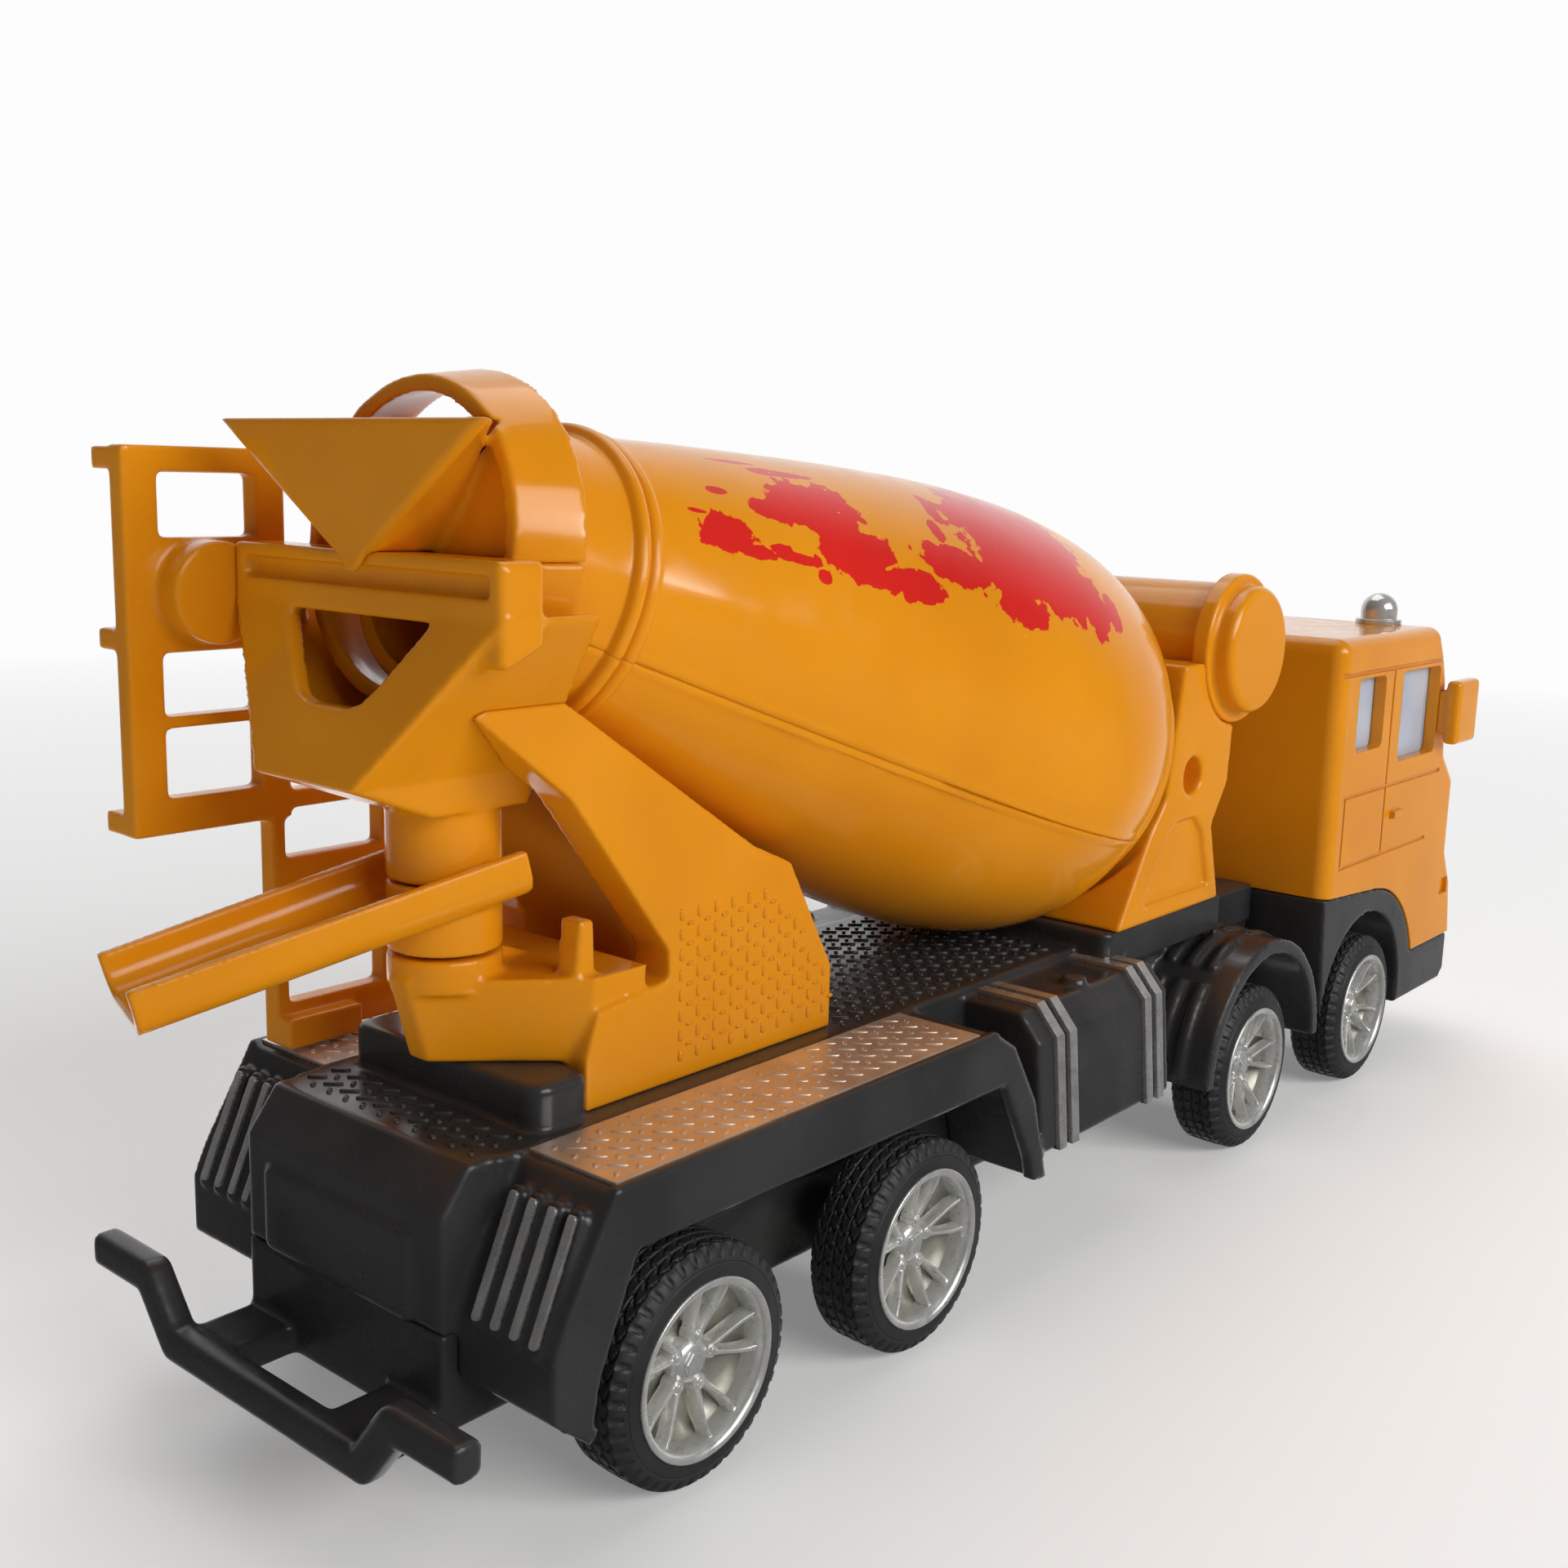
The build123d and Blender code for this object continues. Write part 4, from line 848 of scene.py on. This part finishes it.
def drum_half(name, node, start_turn, material):
    """One moulded half from a seam round to the next, with its inner wall."""
    span = HALF_TURN - 2 * SHELL_MARGIN
    turns = list(SEAM_OFFSETS)
    turns += [SHELL_MARGIN + span * index / SHELL_STEPS for index in range(SHELL_STEPS + 1)]
    turns += [HALF_TURN - offset for offset in reversed(SEAM_OFFSETS)]
    bm = bmesh.new()
    layer = bm.loops.layers.uv.new("drum_map")
    place = {}
    outer = []
    inner = []
    for s in drum_stations():
        radius = drum_radius(s)
        seam_height = SEAM_NEAR_BEADS if abs(s) <= BEAD_ZONE else 1.0
        outer_row = []
        inner_row = []
        for turn in turns:
            edge = min(turn, HALF_TURN - turn) * radius / SEAM_RADIUS
            lift = seam_relief(edge) * seam_height
            angle = start_turn + turn
            for row, reach in ((outer_row, radius + lift), (inner_row, radius - DRUM_WALL)):
                vertex = bm.verts.new(drum_point(s, reach, angle))
                place[vertex] = (s / DRUM_MAP_LENGTH, (angle % FULL_TURN) / FULL_TURN)
                row.append(vertex)
        outer.append(outer_row)
        inner.append(inner_row)
    rows = outer + list(reversed(inner))
    skin(bm, rows, wrap_rows=True)
    for column in (0, -1):
        for i in range(len(outer) - 1):
            corners = (outer[i][column], outer[i + 1][column], inner[i + 1][column], inner[i][column])
            bm.faces.new(corners)
    for face in bm.faces:
        for loop in face.loops:
            loop[layer].uv = place[loop.vert]
    piece = piece_from(name, bm, (material,), SMOOTH_DRUM)
    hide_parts(node)
    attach(piece, "drum")


# ---------------------------------------------------------------- raised tread dashes
TREAD_PITCH = 2.05
TREAD_TURN = math.radians(-46.0)
TREAD_MARGIN = 0.9
LONG_DASH = (2.1, 0.34)
SHORT_DASH = (1.15, 0.55)
PLATE_DASH_HEIGHT = 0.10
DECK_DASH_HEIGHT = 0.24
# Name, corner by station and side, and size in mm.
DECK_TREADS = (
    ("deck_tread_rear", (-18.0, -15.2), (8.2, 30.4)),
    ("deck_tread_front", (37.2, -15.8), (50.2, 31.6)),
)
LEG_STATION = 10.2
LEG_SIDE = 13.8
LEG_FOOT = 36.4
LEG_START_U = 1.4
LEG_START_V = 1.6
LEG_ROWS = 8
LEG_COLUMNS = 10
LEG_PITCH_U = 2.65
LEG_PITCH_V = 2.2
LEG_TOP = 17.4
LEG_BEND = 17.0
LEG_SLOPE = 1.37
LEG_HEIGHT = 0.20
UPRIGHT_DASH = (1.35, 0.60)
LEVEL_DASH = (1.00, 0.45)
# A dash's outline by share of its length and width, and its layers by spread and share of its height.
DASH_OUTLINE = ((-0.5, 0.0), (-0.36, -0.5), (0.36, -0.5), (0.5, 0.0), (0.36, 0.5), (-0.36, 0.5))
DASH_LAYERS = ((1.0, -0.02), (0.86, 0.7), (0.62, 1.0))


def dash(bm, centre, along, across, normal, size, height):
    """One raised lozenge with sloping sides and rounded ends."""
    length, width = size
    rings = []
    for spread, lift in DASH_LAYERS:
        ring = []
        for u, v in DASH_OUTLINE:
            shift = along * (u * (length - (1 - spread) * width)) + across * (v * width * spread)
            ring.append(bm.verts.new(centre + shift + normal * (height * lift)))
        rings.append(ring)
    skin(bm, rings, wrap_columns=True)
    bm.faces.new(rings[-1])


def tread_field(name, origin, first, second, normal, size, material, height):
    """Basket pattern of dashes over a rectangle given by its corner, two edge directions and size in mm."""
    bm = bmesh.new()
    width, depth = size
    along = first * math.cos(TREAD_TURN) + second * math.sin(TREAD_TURN)
    across = -first * math.sin(TREAD_TURN) + second * math.cos(TREAD_TURN)
    reach = int((width + depth) / TREAD_PITCH) + 2
    for i in range(-reach, reach):
        for j in range(-reach, reach):
            step = (along * i + across * j) * TREAD_PITCH
            u = step.dot(first)
            v = step.dot(second)
            inside = TREAD_MARGIN < u < width - TREAD_MARGIN and TREAD_MARGIN < v < depth - TREAD_MARGIN
            if not inside:
                continue
            centre = origin + (first * u + second * v) * MM
            if (i + j) % 2 == 0:
                dash(bm, centre, along * MM, across * MM, normal * MM, LONG_DASH, height)
            else:
                dash(bm, centre, across * MM, along * MM, normal * MM, SHORT_DASH, height)
    piece = piece_from(name, bm, (material,), SMOOTH_DASHES)
    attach(piece, "truck")


def upright_field(name, origin, first, second, normal, material):
    """Upright dashes in rows with short level ones between them, over a pedestal foot's side."""
    bm = bmesh.new()
    places = (
        (0.0, second, -first, UPRIGHT_DASH),
        (0.5, first, second, LEVEL_DASH),
    )
    for row in range(LEG_ROWS):
        for column in range(LEG_COLUMNS):
            for shift, along, across, size in places:
                u = LEG_START_U + (column + shift) * LEG_PITCH_U
                v = LEG_START_V + (row + shift) * LEG_PITCH_V
                if v > LEG_TOP - LEG_SLOPE * max(u - LEG_BEND, 0):
                    continue
                centre = origin + (first * u + second * v) * MM
                dash(bm, centre, along * MM, across * MM, normal * MM, size, LEG_HEIGHT)
    piece = piece_from(name, bm, (material,), SMOOTH_DASHES)
    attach(piece, "truck")


def build_treads(black, silver, orange):
    up = Vector((0, 0, 1))
    ahead = Vector((1, 0, 0))
    left = Vector((0, 1, 0))
    for side in ("left", "right"):
        low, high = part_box(f"tread_plate_{side}")
        size = ((high.x - low.x) / MM, (high.y - low.y) / MM)
        corner = Vector((low.x, low.y, high.z))
        name = f"tread_dashes_{side}"
        tread_field(name, corner, ahead, left, up, size, silver, PLATE_DASH_HEIGHT)
    deck_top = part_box("tread_plate_left")[1].z / MM
    for name, (station, y), size in DECK_TREADS:
        corner = at(station, y, deck_top)
        tread_field(name, corner, ahead, left, up, size, black, DECK_DASH_HEIGHT)
    for side, facing in (("right", -1), ("left", 1)):
        corner = at(LEG_STATION, LEG_SIDE * facing, LEG_FOOT)
        upright_field(f"leg_tread_{side}", corner, ahead, up, left * facing, orange)


# ---------------------------------------------------------------- camera, light and floor
CAMERA_PLACE = (-113.7, -133.3, 98.7)
CAMERA_HEADING = 40.23
CAMERA_PITCH = -10.21
CAMERA_ROLL = 1.51
CAMERA_LENS = 39.1
CAMERA_SENSOR = 36.0
CAMERA_NEAREST = 0.005


def build_camera():
    heading = math.radians(CAMERA_HEADING)
    pitch = math.radians(CAMERA_PITCH)
    roll = math.radians(CAMERA_ROLL)
    forward = Vector((math.cos(heading), math.sin(heading), 0)) * math.cos(pitch)
    forward.z = math.sin(pitch)
    level = Vector((math.sin(heading), -math.cos(heading), 0))
    upright = level.cross(forward)
    right = level * math.cos(roll) + upright * math.sin(roll)
    up = upright * math.cos(roll) - level * math.sin(roll)
    data = bpy.data.cameras.new("camera")
    data.lens = CAMERA_LENS
    data.sensor_width = CAMERA_SENSOR
    data.clip_start = CAMERA_NEAREST
    camera = bpy.data.objects.new("camera", data)
    turn = Matrix((right, up, -forward)).transposed().to_4x4()
    camera.matrix_world = Matrix.Translation(at(*CAMERA_PLACE)) @ turn
    bpy.context.scene.collection.objects.link(camera)
    bpy.context.scene.camera = camera


# Name, place and size in metres, power in watts and colour.
LIGHTS = (
    ("side_light", (-0.05, -0.95, 0.55), (0.8, 0.5), 6.6, (1.0, 0.985, 0.96)),
    ("window_light", (0.28, -0.86, 0.36), (0.10, 0.22), 1.1, WHITE),
    ("top_light", (0.15, 0.25, 1.0), (0.8, 0.8), 3.2, WHITE),
)
LIGHT_AIM = (0, 0, 0.05)
# Cosine to the camera's heading where the world starts and ends brightening.
BACKDROP_START = 0.35
BACKDROP_END = 0.80


def area_light(name, place, size, power, colour):
    data = bpy.data.lights.new(name, "AREA")
    data.shape = "RECTANGLE"
    data.size, data.size_y = size
    data.energy = power
    data.color = colour
    lamp = bpy.data.objects.new(name, data)
    lamp.location = place
    lamp.rotation_euler = (Vector(LIGHT_AIM) - Vector(place)).to_track_quat("-Z", "Y").to_euler()
    bpy.context.scene.collection.objects.link(lamp)


def studio_world():
    """White backdrop on the far side of the truck, softer grey round the rest."""
    world = bpy.data.worlds.new("studio")
    world.use_nodes = True
    tree = world.node_tree
    backdrop = tree.nodes["Background"]
    backdrop.inputs["Color"].default_value = (*WHITE, 1.0)
    place = tree.nodes.new("ShaderNodeTexCoord")
    facing = tree.nodes.new("ShaderNodeVectorMath")
    facing.operation = "DOT_PRODUCT"
    heading = math.radians(CAMERA_HEADING)
    facing.inputs[1].default_value = (math.cos(heading), math.sin(heading), 0.0)
    spread = tree.nodes.new("ShaderNodeMapRange")
    spread.inputs["From Min"].default_value = BACKDROP_START
    spread.inputs["From Max"].default_value = BACKDROP_END
    spread.inputs["To Min"].default_value = WORLD_SOFT
    spread.inputs["To Max"].default_value = WORLD_BRIGHT
    tree.links.new(place.outputs["Generated"], facing.inputs[0])
    tree.links.new(facing.outputs["Value"], spread.inputs["Value"])
    tree.links.new(spread.outputs["Result"], backdrop.inputs["Strength"])
    bpy.context.scene.world = world


def build_light():
    studio_world()
    bpy.context.scene.view_settings.view_transform = "Standard"
    for light in LIGHTS:
        area_light(*light)


def stage_piece(name, bm, material):
    mesh = bpy.data.meshes.new(name)
    bm.to_mesh(mesh)
    bm.free()
    mesh.materials.append(material)
    piece = bpy.data.objects.new(name, mesh)
    bpy.context.scene.collection.objects.link(piece)
    return piece


def build_stage():
    """Plain floor without reflections, and a white wall far round it that lights nothing."""
    bm = bmesh.new()
    corners = ((-1, -1), (1, -1), (1, 1), (-1, 1))
    bm.faces.new([bm.verts.new((x * STAGE_REACH, y * STAGE_REACH, 0)) for x, y in corners])
    floor = stage_piece("floor", bm, floor_paper())
    floor.visible_glossy = False
    bm = bmesh.new()
    rows = []
    for height in (WALL_FOOT, WALL_HEIGHT):
        ring = []
        for index in range(WALL_STEPS):
            turn = 2 * math.pi * index / WALL_STEPS
            ring.append(bm.verts.new((WALL_RADIUS * math.cos(turn), WALL_RADIUS * math.sin(turn), height)))
        rows.append(ring)
    skin(bm, rows, wrap_columns=True)
    wall = stage_piece("wall", bm, wall_paper())
    wall.visible_diffuse = False
    wall.visible_glossy = False
    wall.visible_transmission = False
    wall.visible_shadow = False


# ---------------------------------------------------------------- finishes of the CAD nodes
def finish_nodes(finishes):
    """Each CAD node gets the finish of its record slot, or of its own name."""
    slots = {part["node"]: part["material_slot"] for part in frame["record"]["subparts"]}
    for name, node in NODES.items():
        material = finishes.get(name) or finishes[slots[name]]
        if not node.material_slots:
            node.data.materials.append(material)
        for material_slot in node.material_slots:
            material_slot.material = material


# Moulded parts: node, voxel in millimetres, rounds of smoothing.
MOULDED = (
    ("hopper", 0.3, 7),
    ("drum_yoke", 0.3, 8),
    ("rear_pedestal", 0.3, 7),
    ("discharge_chute", 0.25, 6),
    ("ladder", 0.3, 7),
    ("front_stand", 0.35, 5),
    ("mirror_left", 0.3, 6),
    ("mirror_right", 0.3, 6),
    ("chassis_base", 0.35, 5),
    ("chassis_deck", 0.35, 2),
    ("cab_base", 0.35, 3),
)


EASE_FACTOR = 0.5


def soften_moulding(node, voxel, rounds):
    """Round every edge of a moulded part the way its tool does."""
    body = NODES[node]
    cast = body.modifiers.new("cast", "REMESH")
    cast.mode = "VOXEL"
    cast.voxel_size = voxel * MM
    cast.use_smooth_shade = True
    ease = body.modifiers.new("ease", "SMOOTH")
    ease.factor = EASE_FACTOR
    ease.iterations = rounds


def main():
    orange = orange_plastic()
    black = finished("black_plastic")
    rubber = finished("tyre_rubber")
    plating = finished("rim_plating")
    silver = finished("silver_paint")
    bright = finished("bright_paint")
    lens = finished("lens_plating")
    steel = bright_steel()
    finish_nodes({
        "orange_plastic": orange,
        "black_plastic": black,
        "silver_paint": silver,
        "silver_plating": plating,
        "screw_steel": steel,
        "axle_steel": steel,
        "window_tint": finished("window_gloss"),
        "tyre_rubber": rubber,
        "tank_bands_left": bright,
        "tank_bands_right": bright,
        "vent_louvres_left": bright,
        "vent_louvres_right": bright,
        "roof_beacon_left": lens,
        "roof_beacon_right": lens,
        "headlamp_left": lens,
        "headlamp_right": lens,
    })
    for node, voxel, rounds in MOULDED:
        soften_moulding(node, voxel, rounds)
    drum = drum_plastic()
    drum_half("drum_half_lower_detailed", "drum_half_lower", SEAM_TURN, drum)
    drum_half("drum_half_upper_detailed", "drum_half_upper", SEAM_TURN + HALF_TURN, drum)
    # The rims' dishes take the darker finish, which paints shade into their recess.
    build_wheels(rubber, plating, finished("rim_dish_shaded_plating"))
    build_treads(black, silver, orange)
    build_camera()
    build_light()
    build_stage()


main()
